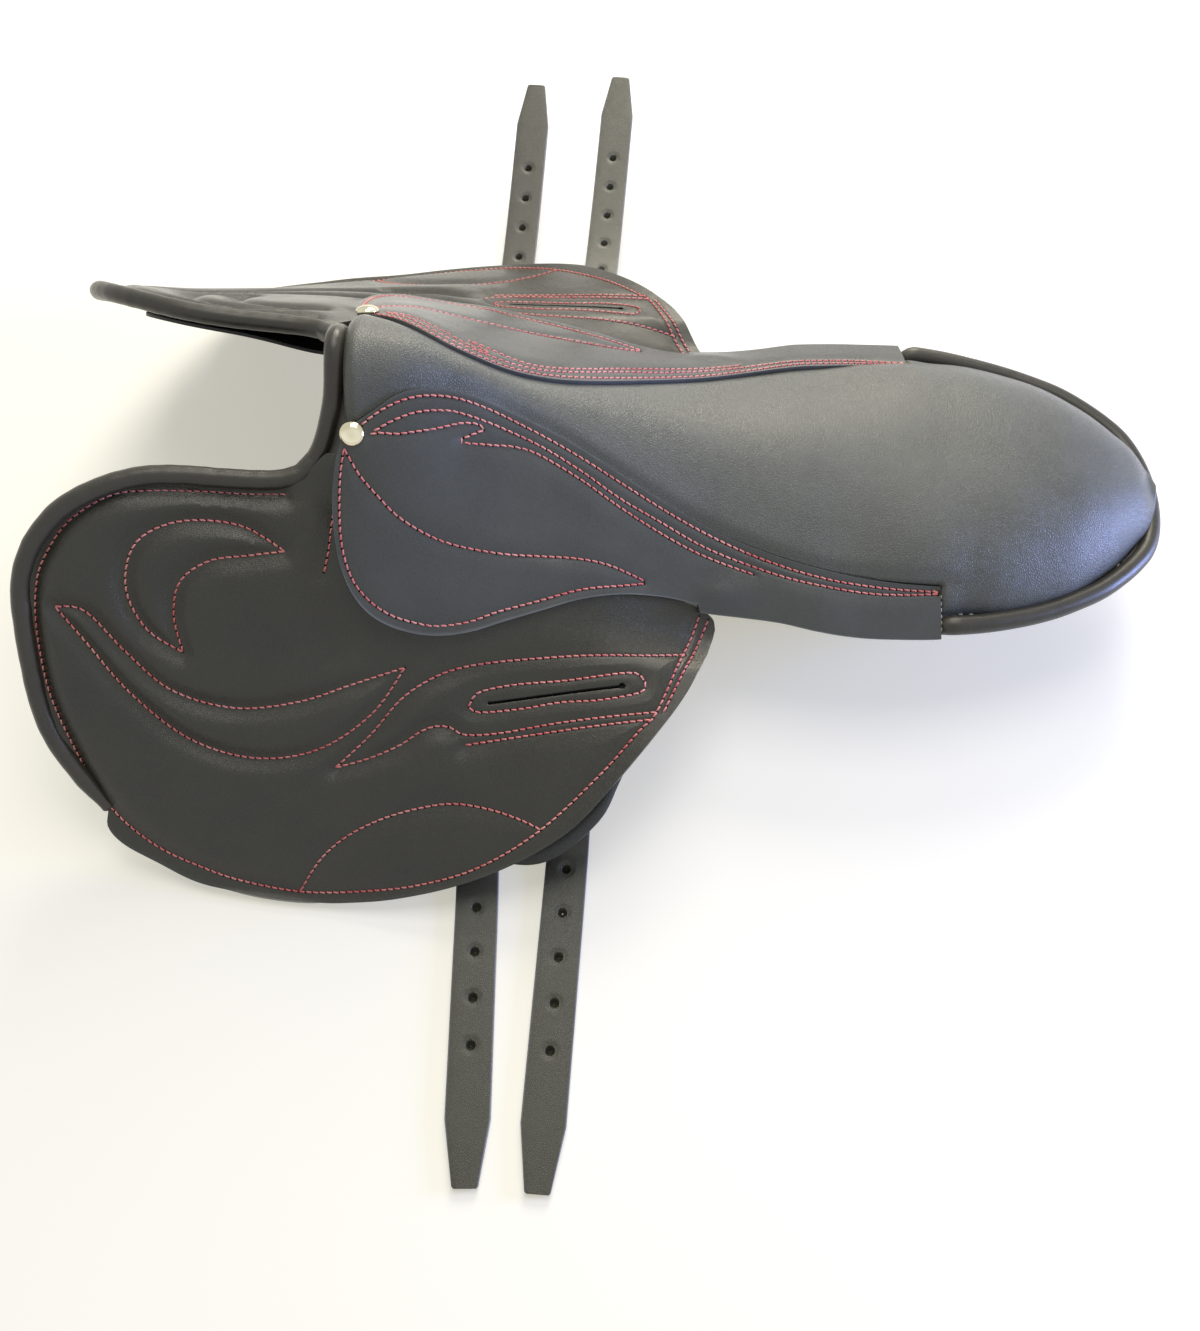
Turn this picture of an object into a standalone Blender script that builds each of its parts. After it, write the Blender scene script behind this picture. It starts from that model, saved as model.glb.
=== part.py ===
"""Steeplechase saddle: seat on a moulded tree, forward-cut flaps, skirts, panels and girth straps.

Frame: +X towards the cantle, near side at -Y, far side at +Y, +Z up, Z = 0 on the ground.
Lengths here are in millimetres and become metres when a mesh is made.
Leather sheets follow two laws of height over the plan: saddle_top and flap_top.
"""
import math

import bmesh
import bpy
import numpy as np
from mathutils import Vector

MM = 0.001
GAP = 0.3
NEAR, FAR = -1, 1
SIDES = {"near": NEAR, "far": FAR}

# Driving sizes
SEAT_LENGTH_END = 319.0
RIM_HALF_WIDTH = 108.0
FLAP_THICK = 3.5
SKIRT_THICK = 3.0
COVER_THICK = 2.0
LINING_THICK = 2.0
TREE_THICK = 6.0
TREE_DEPTH = 16.0
WEB_THICK = 1.1
PLATE_THICK = 2.0
ROLL_RADIUS = 5.0
WELT_RADIUS = 4.2
STRAP_WIDTH = 24.0
STRAP_THICK = 3.8
HOLE_PITCH = 25.0
HOLE_RADIUS = 2.5
KNEE_PAD_THICK = 6.0


def stations(*pairs):
    """A smooth law through (position, value) pairs, held at its end values."""
    xs = np.array([p[0] for p in pairs], float)
    ys = np.array([p[1] for p in pairs], float)
    slopes = np.gradient(ys, xs)

    def law(x):
        x = min(max(x, xs[0]), xs[-1])
        i = min(max(int(np.searchsorted(xs, x)) - 1, 0), len(xs) - 2)
        h = xs[i + 1] - xs[i]
        t = (x - xs[i]) / h
        a = (2 * t ** 3 - 3 * t ** 2 + 1) * ys[i] + (t ** 3 - 2 * t ** 2 + t) * h * slopes[i]
        b = (3 * t ** 2 - 2 * t ** 3) * ys[i + 1] + (t ** 3 - t ** 2) * h * slopes[i + 1]
        return a + b

    return law


def ease(low, high, x):
    t = min(max((x - low) / (high - low), 0.0), 1.0)
    return t * t * (3 - 2 * t)


# Hull of seat and skirts: height of the midline, slope of the flank, radius of the ridge
midline = stations((-150, 191), (-120, 194), (-90, 179), (-60, 160), (-20, 142.5), (40, 124.5),
                   (110, 115.5), (180, 109), (330, 100))
flank = stations((-150, 0.86), (-120, 0.90), (-90, 0.74), (-60, 0.615), (-20, 0.55), (40, 0.69),
                 (110, 0.60), (180, 0.53))
ridge = stations((-150, 30), (-120, 20), (-90, 10), (-60, 11), (-20, 20), (40, 45), (110, 60))

# Flap: a leather sheet ruled across the line 120 mm out, steep in front and flat behind
FLAP_LINE = 120.0
flap_height = stations((-310, 109), (-240, 99.3), (-180, 93.7), (-120, 88.6), (-60, 86.4), (0, 84),
                       (46, 75))
flap_slope = stations((-310, 1.08), (-240, 0.893), (-180, 0.788), (-120, 0.665), (-60, 0.546),
                      (0, 0.384), (46, 0.13))
TREE_POINT = (-135.0, 85.0)
TREE_POINT_BULGE = 8.0


def saddle_top(x, b):
    r = ridge(x)
    return midline(x) - flank(x) * (math.hypot(b, r) - r)


def flap_top(x, b):
    """Top of the flap: ruled, pushed out by the tree's point, held under the skirt and off the ground."""
    u = (x - TREE_POINT[0]) / 45.0
    v = (b - TREE_POINT[1]) / 32.0
    bulge = TREE_POINT_BULGE * math.exp(-0.5 * (u * u + v * v))
    out = b - FLAP_LINE
    z = flap_height(x) - flap_slope(x) * out + 2.4 * (out / 100.0) ** 2 + bulge
    roof = saddle_top(x, b) - 1.25 * (SKIRT_THICK + 1.0)
    if x > -60.0 and z > roof:
        z -= (z - roof) * (1.0 - ease(96, 130, b))
    floor = FLAP_THICK + 0.6
    return 0.5 * (z + floor + math.hypot(z - floor, 1.0))


# Seat plan: skirt's upper edge, seat's outer edge behind the skirts, rim, and fold of the skirt
skirt_edge = stations((-146, 39), (-130, 30.5), (-117, 22.5), (-98, 15), (-78, 12.4), (-58, 14.4),
                      (-37, 19), (-15, 27.5), (18, 42), (64, 60), (109, 73), (154, 79), (177, 80))
seat_side = stations((41, 80), (64, 85), (110, 90), (154, 92), (190, 93), (212, 92), (235, 86.5),
                     (260, 77), (274, 68), (288, 57), (304, 40), (313, 26), (318, 10))
seam_height = stations((120, 78), (177, 76), (235, 74), (288, 70), (319, 67))
pillow_height = stations((120, 115), (180, 110), (235, 107), (270, 101), (295, 91), (308, 82),
                         (318, 71))
SKIRT_END = 177.0
NOTCH = 41.0
FOLD_FRONT = (-146.0, 46.0)
FOLD_REAR = (41.0, 88.0)
HINGE_FRONT = (-165.0, 46.5)
HINGE_REAR = (46.0, 88.5)


def on_line(a, c, x):
    return a[1] + (c[1] - a[1]) * (x - a[0]) / (c[0] - a[0])


def fold_side(x):
    return on_line(FOLD_FRONT, FOLD_REAR, x)


def hinge_side(x):
    return on_line(HINGE_FRONT, HINGE_REAR, x)


def seat_top(x, b):
    """Top of the seat leather: the hull in front, a crowned pillow with drawn-in sides behind."""
    side = seat_side(x)
    share = min(abs(b) / side, 1.0)
    rise = (1.0 - share ** 2.6) ** 0.58
    pillow = seam_height(x) + (pillow_height(x) - seam_height(x)) * rise
    return saddle_top(x, b) + (pillow - saddle_top(x, b)) * ease(110, 185, x)


def skirt_top(x, b):
    """The skirt lies on the seat's flank and stays clear of the flap below its lobe."""
    clear = flap_top(x, b) + SKIRT_THICK + 1.5
    hull = saddle_top(x, b)
    if x > NOTCH:
        return hull
    near = ease(0.0, 16.0, b - fold_side(x))
    lifted = 0.5 * (hull + clear + math.hypot(hull - clear, 1.5))
    return hull + (lifted - hull) * near


def upright(x, b):
    """Upward share of the hull's normal: a thickness divided by it is a drop in height."""
    return normal_of(saddle_top, x, b).z


def tree_top(x, b):
    return seat_top(x, b) - TREE_DEPTH / upright(x, b)


def normal_of(height, x, b):
    d = 0.5
    gx = (height(x + d, b) - height(x - d, b)) / (2 * d)
    gb = (height(x, b + d) - height(x, b - d)) / (2 * d)
    return Vector((-gx, -gb, 1.0)).normalized()


def spline(points, count):
    """Points spaced evenly along a smooth curve through the given ones."""
    pts = [Vector(p) for p in points]
    fine = []
    for i in range(len(pts) - 1):
        p0 = pts[max(i - 1, 0)]
        p1, p2 = pts[i], pts[i + 1]
        p3 = pts[min(i + 2, len(pts) - 1)]
        for k in range(12):
            t = k / 12
            fine.append(0.5 * (2 * p1 + (p2 - p0) * t + (2 * p0 - 5 * p1 + 4 * p2 - p3) * t * t
                               + (3 * p1 - p0 - 3 * p2 + p3) * t ** 3))
    fine.append(pts[-1])
    run = [0.0]
    for a, c in zip(fine[:-1], fine[1:]):
        run.append(run[-1] + (c - a).length)
    out = []
    j = 0
    for k in range(count):
        s = run[-1] * k / (count - 1)
        while j < len(run) - 2 and run[j + 1] < s:
            j += 1
        t = (s - run[j]) / max(run[j + 1] - run[j], 1e-9)
        out.append(fine[j].lerp(fine[j + 1], min(t, 1.0)))
    return out


def material(name, colour, roughness, metallic=0.0):
    if name in bpy.data.materials:
        return bpy.data.materials[name]
    mat = bpy.data.materials.new(name)
    mat.use_nodes = True
    shader = mat.node_tree.nodes["Principled BSDF"]
    shader.inputs["Base Color"].default_value = (*colour, 1.0)
    shader.inputs["Roughness"].default_value = roughness
    shader.inputs["Metallic"].default_value = metallic
    return mat


LEATHER_COLOUR = (0.022, 0.022, 0.021)
FOAM_COLOUR = (0.62, 0.60, 0.50)
WEB_COLOUR = (0.55, 0.50, 0.40)
STEEL_COLOUR = (0.42, 0.42, 0.43)
NICKEL_COLOUR = (0.78, 0.76, 0.70)
TREE_COLOUR = (0.05, 0.05, 0.05)


def leather(name, roughness=0.5):
    return material(name + "_leather", LEATHER_COLOUR, roughness)


def add_solid(name, bm, mat):
    """Close a bmesh into a named object with its faces outward."""
    bmesh.ops.remove_doubles(bm, verts=bm.verts, dist=1e-5 * MM)
    bmesh.ops.recalc_face_normals(bm, faces=bm.faces)
    mesh = bpy.data.meshes.new(name)
    bm.to_mesh(mesh)
    bm.free()
    mesh.shade_smooth()
    mesh.set_sharp_from_angle(angle=math.radians(40))
    mesh.materials.append(mat)
    obj = bpy.data.objects.new(name, mesh)
    bpy.context.collection.objects.link(obj)
    return obj


def skin(bm, rows, closed=False):
    """Faces between neighbouring rows of vertices."""
    for a, c in zip(rows[:-1], rows[1:]):
        last = len(a) if closed else len(a) - 1
        for i in range(last):
            j = (i + 1) % len(a)
            bm.faces.new((a[i], a[j], c[j], c[i]))


def two_skins(name, top, bottom, mat):
    """A solid between two grids of points with the same rows and columns."""
    bm = bmesh.new()
    up = [[bm.verts.new(Vector(p) * MM) for p in row] for row in top]
    down = [[bm.verts.new(Vector(p) * MM) for p in row] for row in bottom]
    skin(bm, up)
    skin(bm, down)
    skin(bm, [[r[0] for r in up], [r[0] for r in down]])
    skin(bm, [[r[-1] for r in up], [r[-1] for r in down]])
    skin(bm, [up[0], down[0]])
    skin(bm, [up[-1], down[-1]])
    return add_solid(name, bm, mat)


def sheet(name, side, plan_rows, height, thick, mat, drop=0.0):
    """Leather of even thickness whose top follows a height law, less a drop, over plan rows."""
    top, bottom = [], []
    for row in plan_rows:
        upper, lower = [], []
        for x, b in row:
            n = normal_of(height, x, b)
            p = Vector((x, b, height(x, b))) - n * drop
            q = p - n * thick
            upper.append((p.x, side * p.y, p.z))
            lower.append((q.x, side * q.y, q.z))
        top.append(upper)
        bottom.append(lower)
    return two_skins(name, top, bottom, mat)


def between(inner, outer, across):
    """Plan rows ruled from one edge curve to another."""
    rows = []
    for a, c in zip(inner, outer):
        rows.append([tuple(a.lerp(c, k / across)) for k in range(across + 1)])
    return rows


def tube(name, points, radius, sides, mat):
    """A round roll along 3D points, with flat ends."""
    bm = bmesh.new()
    pts = [Vector(p) for p in points]
    up = Vector((0, 0, 1))
    rings = []
    for i, p in enumerate(pts):
        ahead = (pts[min(i + 1, len(pts) - 1)] - pts[max(i - 1, 0)]).normalized()
        up = (up - ahead * up.dot(ahead)).normalized()
        across = ahead.cross(up)
        ring = []
        for k in range(sides):
            a = 2 * math.pi * k / sides
            ring.append(bm.verts.new((p + (across * math.cos(a) + up * math.sin(a)) * radius) * MM))
        rings.append(ring)
    skin(bm, rings, closed=True)
    bm.faces.new(rings[0])
    bm.faces.new(rings[-1])
    return add_solid(name, bm, mat)


def cutter(name, bm):
    bmesh.ops.recalc_face_normals(bm, faces=bm.faces)
    mesh = bpy.data.meshes.new(name)
    bm.to_mesh(mesh)
    bm.free()
    obj = bpy.data.objects.new(name, mesh)
    bpy.context.collection.objects.link(obj)
    obj.hide_render = True
    obj.display_type = "WIRE"
    return obj


def cut(obj, tool):
    mod = obj.modifiers.new(tool.name, "BOOLEAN")
    mod.operation = "DIFFERENCE"
    mod.object = tool


def rod_mesh(centre, axis, radius, length, sides=12):
    """A bmesh cylinder about a point, along an axis."""
    bm = bmesh.new()
    bmesh.ops.create_cone(bm, cap_ends=True, segments=sides, radius1=radius * MM,
                          radius2=radius * MM, depth=length * MM)
    turn = Vector((0, 0, 1)).rotation_difference(Vector(axis)).to_matrix()
    bmesh.ops.rotate(bm, verts=bm.verts, cent=(0, 0, 0), matrix=turn)
    bmesh.ops.translate(bm, verts=bm.verts, vec=Vector(centre) * MM)
    return bm


def prism(outline, z_low, z_high, side):
    """A bmesh prism standing on a plan outline."""
    bm = bmesh.new()
    low = [bm.verts.new(Vector((x, side * b, z_low)) * MM) for x, b in outline]
    high = [bm.verts.new(Vector((x, side * b, z_high)) * MM) for x, b in outline]
    skin(bm, [low, high], closed=True)
    bm.faces.new(low)
    bm.faces.new(high)
    return bm


def set_origin(obj, point):
    """Move an object's origin onto its joint without moving its shape."""
    p = Vector(point) * MM
    for v in obj.data.vertices:
        v.co -= p
    obj.location = p


# Seat and tree

ROWS_X = (-140, -135, -130, -124, -118, -112, -104, -94, -82, -70, -56, -42, -28, -14, 6, 30, 55,
          82, 110, 138, 164, 188, 210, 230, 248, 264, 280, 296)
COLUMNS_B = (0, 4, 9, 16, 24, 33, 44, 58)


def both_sides(half, count):
    """Offsets from one side to the other: the layers over the tree all share these columns."""
    right = [min(COLUMNS_B[k], half - count + k) for k in range(1, count)] + [half]
    return [-b for b in reversed(right)] + [0.0] + right


def rows_between(first, last):
    return [x for x in ROWS_X if first <= x <= last]


def make_tree():
    """Moulded shell under the seat: front arch, two side bars, cantle, open along the middle."""
    half = stations((-140, 42), (-100, 48), (-60, 56), (0, 68), (41, 74), (110, 80), (190, 82),
                    (240, 74), (275, 55), (296, 30))
    top, bottom = [], []
    for x in ROWS_X:
        cols = both_sides(half(x), 8)
        top.append([(x, b, tree_top(x, abs(b))) for b in cols])
        bottom.append([(x, b, tree_top(x, abs(b)) - TREE_THICK) for b in cols])
    tree = two_skins("tree", top, bottom, material("tree_shell", TREE_COLOUR, 0.45))
    outline = []
    opening = stations((-72, 9), (-30, 14), (60, 24), (150, 30), (205, 22))
    for x in (-72, -50, -20, 20, 60, 100, 150, 190, 205):
        outline.append((x, opening(x)))
    outline += [(x, -b) for x, b in reversed(outline)]
    cut(tree, cutter("tree_opening_cutter", prism(outline, 40, 220, FAR)))
    return tree


def arch_plate(name, x_front, x_rear, half_width, above, below):
    """A steel strap bent over or under the tree's arch, between two offsets from its top."""
    top, bottom = [], []
    for x in rows_between(x_front, x_rear):
        cols = both_sides(half_width, 6)
        top.append([(x, b, tree_top(x, abs(b)) + above) for b in cols])
        bottom.append([(x, b, tree_top(x, abs(b)) + below) for b in cols])
    return two_skins(name, top, bottom, material("plate_steel", STEEL_COLOUR, 0.35, 1.0))


def make_plates():
    lift = 0.9
    arch_plate("head_plate", -135, -112, 38, lift + PLATE_THICK, lift)
    arch_plate("gullet_plate", -135, -112, 36, -TREE_THICK - lift, -TREE_THICK - lift - PLATE_THICK)


def make_straining_web():
    top, bottom = [], []
    for x in rows_between(-106, 270):
        cols = both_sides(6 + 20 * ease(-80, 60, x), 3)
        top.append([(x, b, tree_top(x, abs(b)) + 0.9 + WEB_THICK) for b in cols])
        bottom.append([(x, b, tree_top(x, abs(b)) + 0.9) for b in cols])
    two_skins("straining_web", top, bottom, material("linen_web", WEB_COLOUR, 0.9))


def make_seat_foam():
    half = stations((-138, 34), (-118, 40), (-60, 50), (0, 62), (41, 70), (110, 77), (190, 79),
                    (240, 69), (275, 48), (300, 28), (311, 15))
    top, bottom = [], []
    for x in (-138, -128, -116, -100, -84, -66, -40, -10, 25, 60, 95, 130, 160, 178.8, 184, 206,
              230, 255, 276, 290, 297, 300, 306, 311):
        w = half(x)
        marks = [0, 0.22 * w, 0.5 * w, 0.8 * w, w]
        cols = [-b for b in reversed(marks[1:])] + marks
        upper = []
        for b in cols:
            a = abs(b)
            cover = under_skirt(x, a) if x < SKIRT_END + 2 else seat_top(x, a) - 2.0
            upper.append((x, b, cover - (COVER_THICK + 1.0) / upright(x, a)))
        top.append(upper)
        lift = FOAM_LIFT - 9.0 * ease(297, 300, x)
        bottom.append([(x, b, tree_top(x, abs(b)) + lift) for b in cols])
    two_skins("seat_foam", top, bottom, material("seat_foam_rubber", FOAM_COLOUR, 0.95))


FOAM_LIFT = 5.4


SEAT_STEP = SKIRT_THICK + 0.8


def under_skirt(x, b):
    """Seat leather's outside where a skirt lies on it."""
    return min(saddle_top(x, b), seat_top(x, b)) - SEAT_STEP / upright(x, b)


def cover_side(x):
    """How far out the seat leather reaches: under the skirt in front, to the seam behind."""
    if x < NOTCH:
        return fold_side(x) - 2.0
    return seat_side(x)


SKIRT_ROWS = [-140, -134, -124, -112, -100, -88, -76, -62, -46, -28, -8, 16, 40, 66, 96, 126, 154]


def cover_row(x):
    """Half of the seat leather's cross-section, from the middle to its turned-in edge."""
    side = cover_side(x)
    last = side - min(6.0, 0.3 * side)
    if x > SKIRT_END + 1:
        row = [(b * side, seat_top(x, b * side)) for b in (0, 0.3, 0.58, 0.78, 0.9, 0.965)]
        row += [(side, seam_height(x)), (last, seam_height(x) - 7.0)]
    else:
        edge = skirt_edge(x) - 0.1
        low = edge - SEAT_STEP * normal_of(saddle_top, x, edge).y
        row = [(b * edge, seat_top(x, b * edge)) for b in (0, 0.42, 0.8, 1.0)]
        row += [(b, under_skirt(x, b)) for b in (low, 0.5 * (low + side), side)]
        row.append((last, under_skirt(x, side) - 3.0))
    return [(x, b, z) for b, z in row]


def make_seat_cover():
    """Leather drawn over the foam and tree, turned in at its lower edge; open below."""
    rows_x = SKIRT_ROWS + [177.6, 178.4, 192, 212, 232, 250, 266, 280, 292, 302, 310, 315, 318]
    rows = []
    for x, drop in ((-144.4, 12.0), (-144.4, 6.0), (-143.6, 2.2)):
        rows.append([(x, b, z - drop) for _, b, z in cover_row(-140)])
    for x in rows_x:
        rows.append(cover_row(x))
    tip = rows[-1]
    rows.append([(SEAT_LENGTH_END + 0.6, 0.9 * b, min(z, 68.0 - 0.1 * b)) for x, b, z in tip])
    rows.append([(SEAT_LENGTH_END + 0.2, 0.8 * b, min(z, 63.0 - 0.1 * b)) for x, b, z in tip])
    bm = bmesh.new()
    grid = []
    for row in rows:
        points = [(x, -b, z) for x, b, z in reversed(row[1:])] + row
        grid.append([bm.verts.new(Vector(p) * MM) for p in points])
    skin(bm, grid)
    bmesh.ops.recalc_face_normals(bm, faces=bm.faces)
    mesh = bpy.data.meshes.new("seat_cover")
    bm.to_mesh(mesh)
    bm.free()
    highest = max(mesh.polygons, key=lambda f: f.center.z)
    if highest.normal.z < 0:
        mesh.flip_normals()
    mesh.shade_smooth()
    mesh.set_sharp_from_angle(angle=math.radians(40))
    mesh.materials.append(leather("seat", 0.42))
    obj = bpy.data.objects.new("seat_cover", mesh)
    bpy.context.collection.objects.link(obj)
    wall = obj.modifiers.new("leather_wall", "SOLIDIFY")
    wall.thickness = COVER_THICK * MM
    wall.offset = -1.0
    return obj


def rim_point(x):
    """Outermost line of the rim in plan."""
    rim = stations((41, 95), (64, 97), (86, 100), (109, 105), (131, 107.5), (154, RIM_HALF_WIDTH),
                   (177, 107.5), (200, 105), (220, 101), (240, 95.5), (261, 87), (276, 79.5),
                   (290, 69.5), (304, 55.5), (315, 39), (322, 22))
    return rim(x)


rim_height = stations((41, 84), (86, 81), (131, 78), (177, 75), (236, 70), (288, 67), (325, 62))


def make_cantle_welt():
    """Rolled leather rim from under the near skirt round the cantle to the far skirt."""
    path = []
    for x in (84, 96, 114, 140, 170, 200, 225, 245, 262, 277, 290, 302, 312):
        path.append((x - 0.4, rim_point(x) - WELT_RADIUS - 0.8, rim_height(x) - 7.4))
    path += [(318.2, 21, 55.4), (320.6, 0, 54.8)]
    path += [(x, -b, z) for x, b, z in reversed(path[:-1])]
    tube("cantle_welt", spline(path, 50), WELT_RADIUS, 8, leather("welt"))


def make_skirts():
    """Upper strip stitched along the seat, and the lobe that folds up from it."""
    lobe_edge = [(-150.5, 51), (-152.3, 60), (-153.5, 70), (-153, 82), (-151, 94), (-146, 105),
                 (-138, 113), (-127, 117.5), (-112, 119.5), (-97, 119), (-82, 116), (-66, 110.5),
                 (-46, 104), (-25, 97), (-4, 92), (11, 90), (25, 89.6), (36, 91)]
    for name, side in SIDES.items():
        rows = []
        for x in [-145.5] + SKIRT_ROWS[:13] + [40.7] + SKIRT_ROWS[13:] + [SKIRT_END]:
            inner = skirt_edge(x) + GAP + 0.7 * (1.0 - ease(-100, -60, x))
            outer = fold_side(x) if x <= 40 else rim_point(x)
            outer = max(outer, inner + 0.6)
            rows.append([(x, inner + (outer - inner) * k / 4) for k in range(5)])
        sheet("skirt_" + name, side, rows, skirt_top, SKIRT_THICK, leather("skirt", 0.4))
        inner = []
        for k in range(22):
            x = -148.0 + (36.0 + 148.0) * k / 21
            inner.append(Vector((x, fold_side(x) + 1.0)))
        rows = between(inner, spline(lobe_edge, 22), 4)
        lobe = sheet("skirt_lobe_" + name, side, rows, skirt_top, SKIRT_THICK,
                     leather("skirt", 0.4))
        set_origin(lobe, fold_axis(side)[0])


def fold_axis(side):
    """Front and rear points of the straight line about which a skirt's lobe folds."""
    ends = []
    for (x, b), rise in ((FOLD_FRONT, 5.0), (FOLD_REAR, 0.0)):
        ends.append((x, side * (b - 4.0), saddle_top(x, b) + rise))
    return ends


def hinge_axis(side):
    """Front and rear points of the line about which a flap lifts."""
    ends = []
    for x, b in (HINGE_FRONT, HINGE_REAR):
        ends.append((x, side * b, flap_top(x, b) - FLAP_THICK / 2))
    return ends


# Front arch

NAIL_AT = (-140.8, 40.0)


def make_pommel():
    """Rolled edge over the arch, and the facing behind it."""
    path = [(-166.5, 45, 155), (-161, 39.5, 159.5), (-157, 32, 166.5), (-153, 21, 177.5),
            (-151.4, 9, 189), (-151, 0, 192.3)]
    path += [(x, -b, z) for x, b, z in reversed(path[:-1])]
    tube("pommel_roll", spline(path, 29), ROLL_RADIUS, 10, leather("roll"))
    outer = spline([(0, 186, 0), (10, 182, 0), (20, 171, 0), (32, 159, 0), (40, 150, 0),
                    (47, 134, 0), (50, 112, 0)], 12)
    inner = spline([(0, 165, 0), (9, 162, 0), (17, 153, 0), (23, 140, 0), (28, 124, 0),
                    (31, 104, 0)], 12)
    top, bottom = [], []
    for x, rows in ((-149.8, top), (-147.4, bottom)):
        for a, c in list(zip(outer, inner))[::-1]:
            rows.append([(x, -a.x, a.y), (x, -c.x, c.y)])
        for a, c in list(zip(outer, inner))[1:]:
            rows.append([(x, a.x, a.y), (x, c.x, c.y)])
    two_skins("pommel_facing", top, bottom, leather("facing"))


def make_nails():
    """Domed pommel nails driven through the skirt's corner into the tree."""
    for name, side in SIDES.items():
        x, b = NAIL_AT
        n = normal_of(saddle_top, x, b)
        n = Vector((n.x, side * n.y, n.z))
        face = Vector((x, side * b, saddle_top(x, b)))
        bm = bmesh.new()
        sides = 16
        outline = [(0.0, 4.2), (3.2, 3.5), (5.4, 1.9), (6.4, GAP), (1.5, GAP), (1.5, -12.5)]
        rings = []
        for r, h in outline[1:]:
            ring = []
            for k in range(sides):
                a = 2 * math.pi * k / sides
                ring.append(bm.verts.new((r * MM * math.cos(a), r * MM * math.sin(a), h * MM)))
            rings.append(ring)
        skin(bm, rings, closed=True)
        crown = bm.verts.new((0, 0, outline[0][1] * MM))
        for k in range(sides):
            bm.faces.new((rings[0][k], rings[0][(k + 1) % sides], crown))
        bm.faces.new(rings[-1])
        turn = Vector((0, 0, 1)).rotation_difference(n).to_matrix()
        bmesh.ops.rotate(bm, verts=bm.verts, cent=(0, 0, 0), matrix=turn)
        bmesh.ops.translate(bm, verts=bm.verts, vec=face * MM)
        add_solid("pommel_nail_" + name, bm, material("polished_nickel", NICKEL_COLOUR, 0.12, 1.0))
        hole = cutter("nail_hole_" + name, rod_mesh(face, n, 1.9, 40.0))
        for target in ("skirt_" + name, "seat_cover", "seat_foam", "head_plate", "tree"):
            cut(bpy.data.objects[target], hole)


# Flaps

ROLL_PATH = [(-173.5, 51.2), (-182, 53.8), (-193, 55), (-213, 55.5), (-233, 56), (-252, 58.5),
             (-272, 65), (-292, 75), (-306, 86.5), (-315, 97), (-319.5, 107), (-321, 119),
             (-321.2, 134), (-320, 150), (-315.5, 164), (-306, 177), (-294, 190)]
LOWER_EDGE = [(-288.5, 201), (-281.5, 208), (-264.4, 218.3), (-241.8, 228), (-213, 235.3),
              (-184, 239.2), (-155, 240), (-126, 239), (-92, 234), (-58, 224), (-30, 210),
              (-9, 191), (13, 166), (30, 141), (40, 119), (42, 108)]


def inset(points, distance):
    """Move plan points along the flap's surface, square to their path, to the inside."""
    out = []
    for i, p in enumerate(points):
        a, c = points[max(i - 1, 0)], points[min(i + 1, len(points) - 1)]
        t = Vector((c[0] - a[0], c[1] - a[1], 0.0))
        t.z = (flap_top(*c) - flap_top(*a))
        n = normal_of(flap_top, p[0], p[1])
        u = t.normalized().cross(n)
        u.normalize()
        step = distance + 1.6 * ease(0.7, 1.0, i / len(points))
        out.append((p[0] + u.x * step, p[1] + u.y * step))
    return out


def flap_rails():
    """Upper and lower edge curves of the flap, from its front tip to its rear corner."""
    line = [tuple(p) for p in spline(ROLL_PATH, 24)]
    beside = inset(line, ROLL_RADIUS + 0.9)
    tip = 15
    upper = [beside[tip]] + beside[tip - 1:0:-1]
    upper += [(-168, 57.6), (-156, 52), (-120, hinge_side(-120)), (-60, hinge_side(-60)), (0, hinge_side(0)),
              (24, hinge_side(24)), (31, 89), (35, 94), (37, 101)]
    lower = beside[tip + 1:] + LOWER_EDGE
    return upper, lower


def make_flaps():
    """Flap leather with its stirrup-leather slot, its front roll, knee pad and lining."""
    upper, lower = flap_rails()
    upper = spline(upper, 38)
    lower = spline(lower, 38)
    for name, side in SIDES.items():
        flap = sheet("flap_" + name, side, between(upper, lower, 6), flap_top, FLAP_THICK,
                     leather("flap"))
        slot = [(-76, 146), (-75, 144.4), (-2, 136.6), (-0.4, 138), (-1, 139.6), (-75, 147.6)]
        cut(flap, cutter("slot_cutter_" + name, prism(slot, 20, 140, side)))
        roll = []
        for x, b in (tuple(p) for p in spline(ROLL_PATH, 38)):
            p = Vector((x, b, flap_top(x, b))) - normal_of(flap_top, x, b) * 1.5
            roll.append((p.x, side * p.y, p.z))
        front_roll = tube("front_roll_" + name, roll, ROLL_RADIUS, 8, leather("roll"))
        pad_in = spline([(-294, 116), (-280, 95), (-255, 82), (-215, 77), (-178, 80)], 10)
        pad_out = spline([(-296, 132), (-288, 158), (-262, 180), (-222, 188), (-176, 176)], 10)
        pad = sheet("knee_pad_" + name, side, between(pad_in, pad_out, 4), flap_top,
                    KNEE_PAD_THICK, material("knee_pad_foam", FOAM_COLOUR, 0.95),
                    FLAP_THICK + GAP)
        lining_in = spline([(-303, 116), (-290, 93), (-262, 76), (-225, 68), (-185, 66),
                            (-150, 61), (-100, 64), (-60, 72), (0, 83), (28, 91)], 26)
        lining_out = spline([(-306, 130), (-300, 156), (-282, 178), (-250, 196), (-205, 203),
                             (-160, 207), (-115, 219), (-72, 233), (-48, 228), (-30, 218),
                             (-13, 202), (-3, 184), (10, 160), (24, 132), (31, 108)], 26)
        lining = sheet("flap_lining_" + name, side, between(lining_in, lining_out, 5), under_flap,
                       LINING_THICK, leather("lining", 0.6))
        for obj in (flap, front_roll, pad, lining):
            set_origin(obj, hinge_axis(side)[0])


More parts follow.
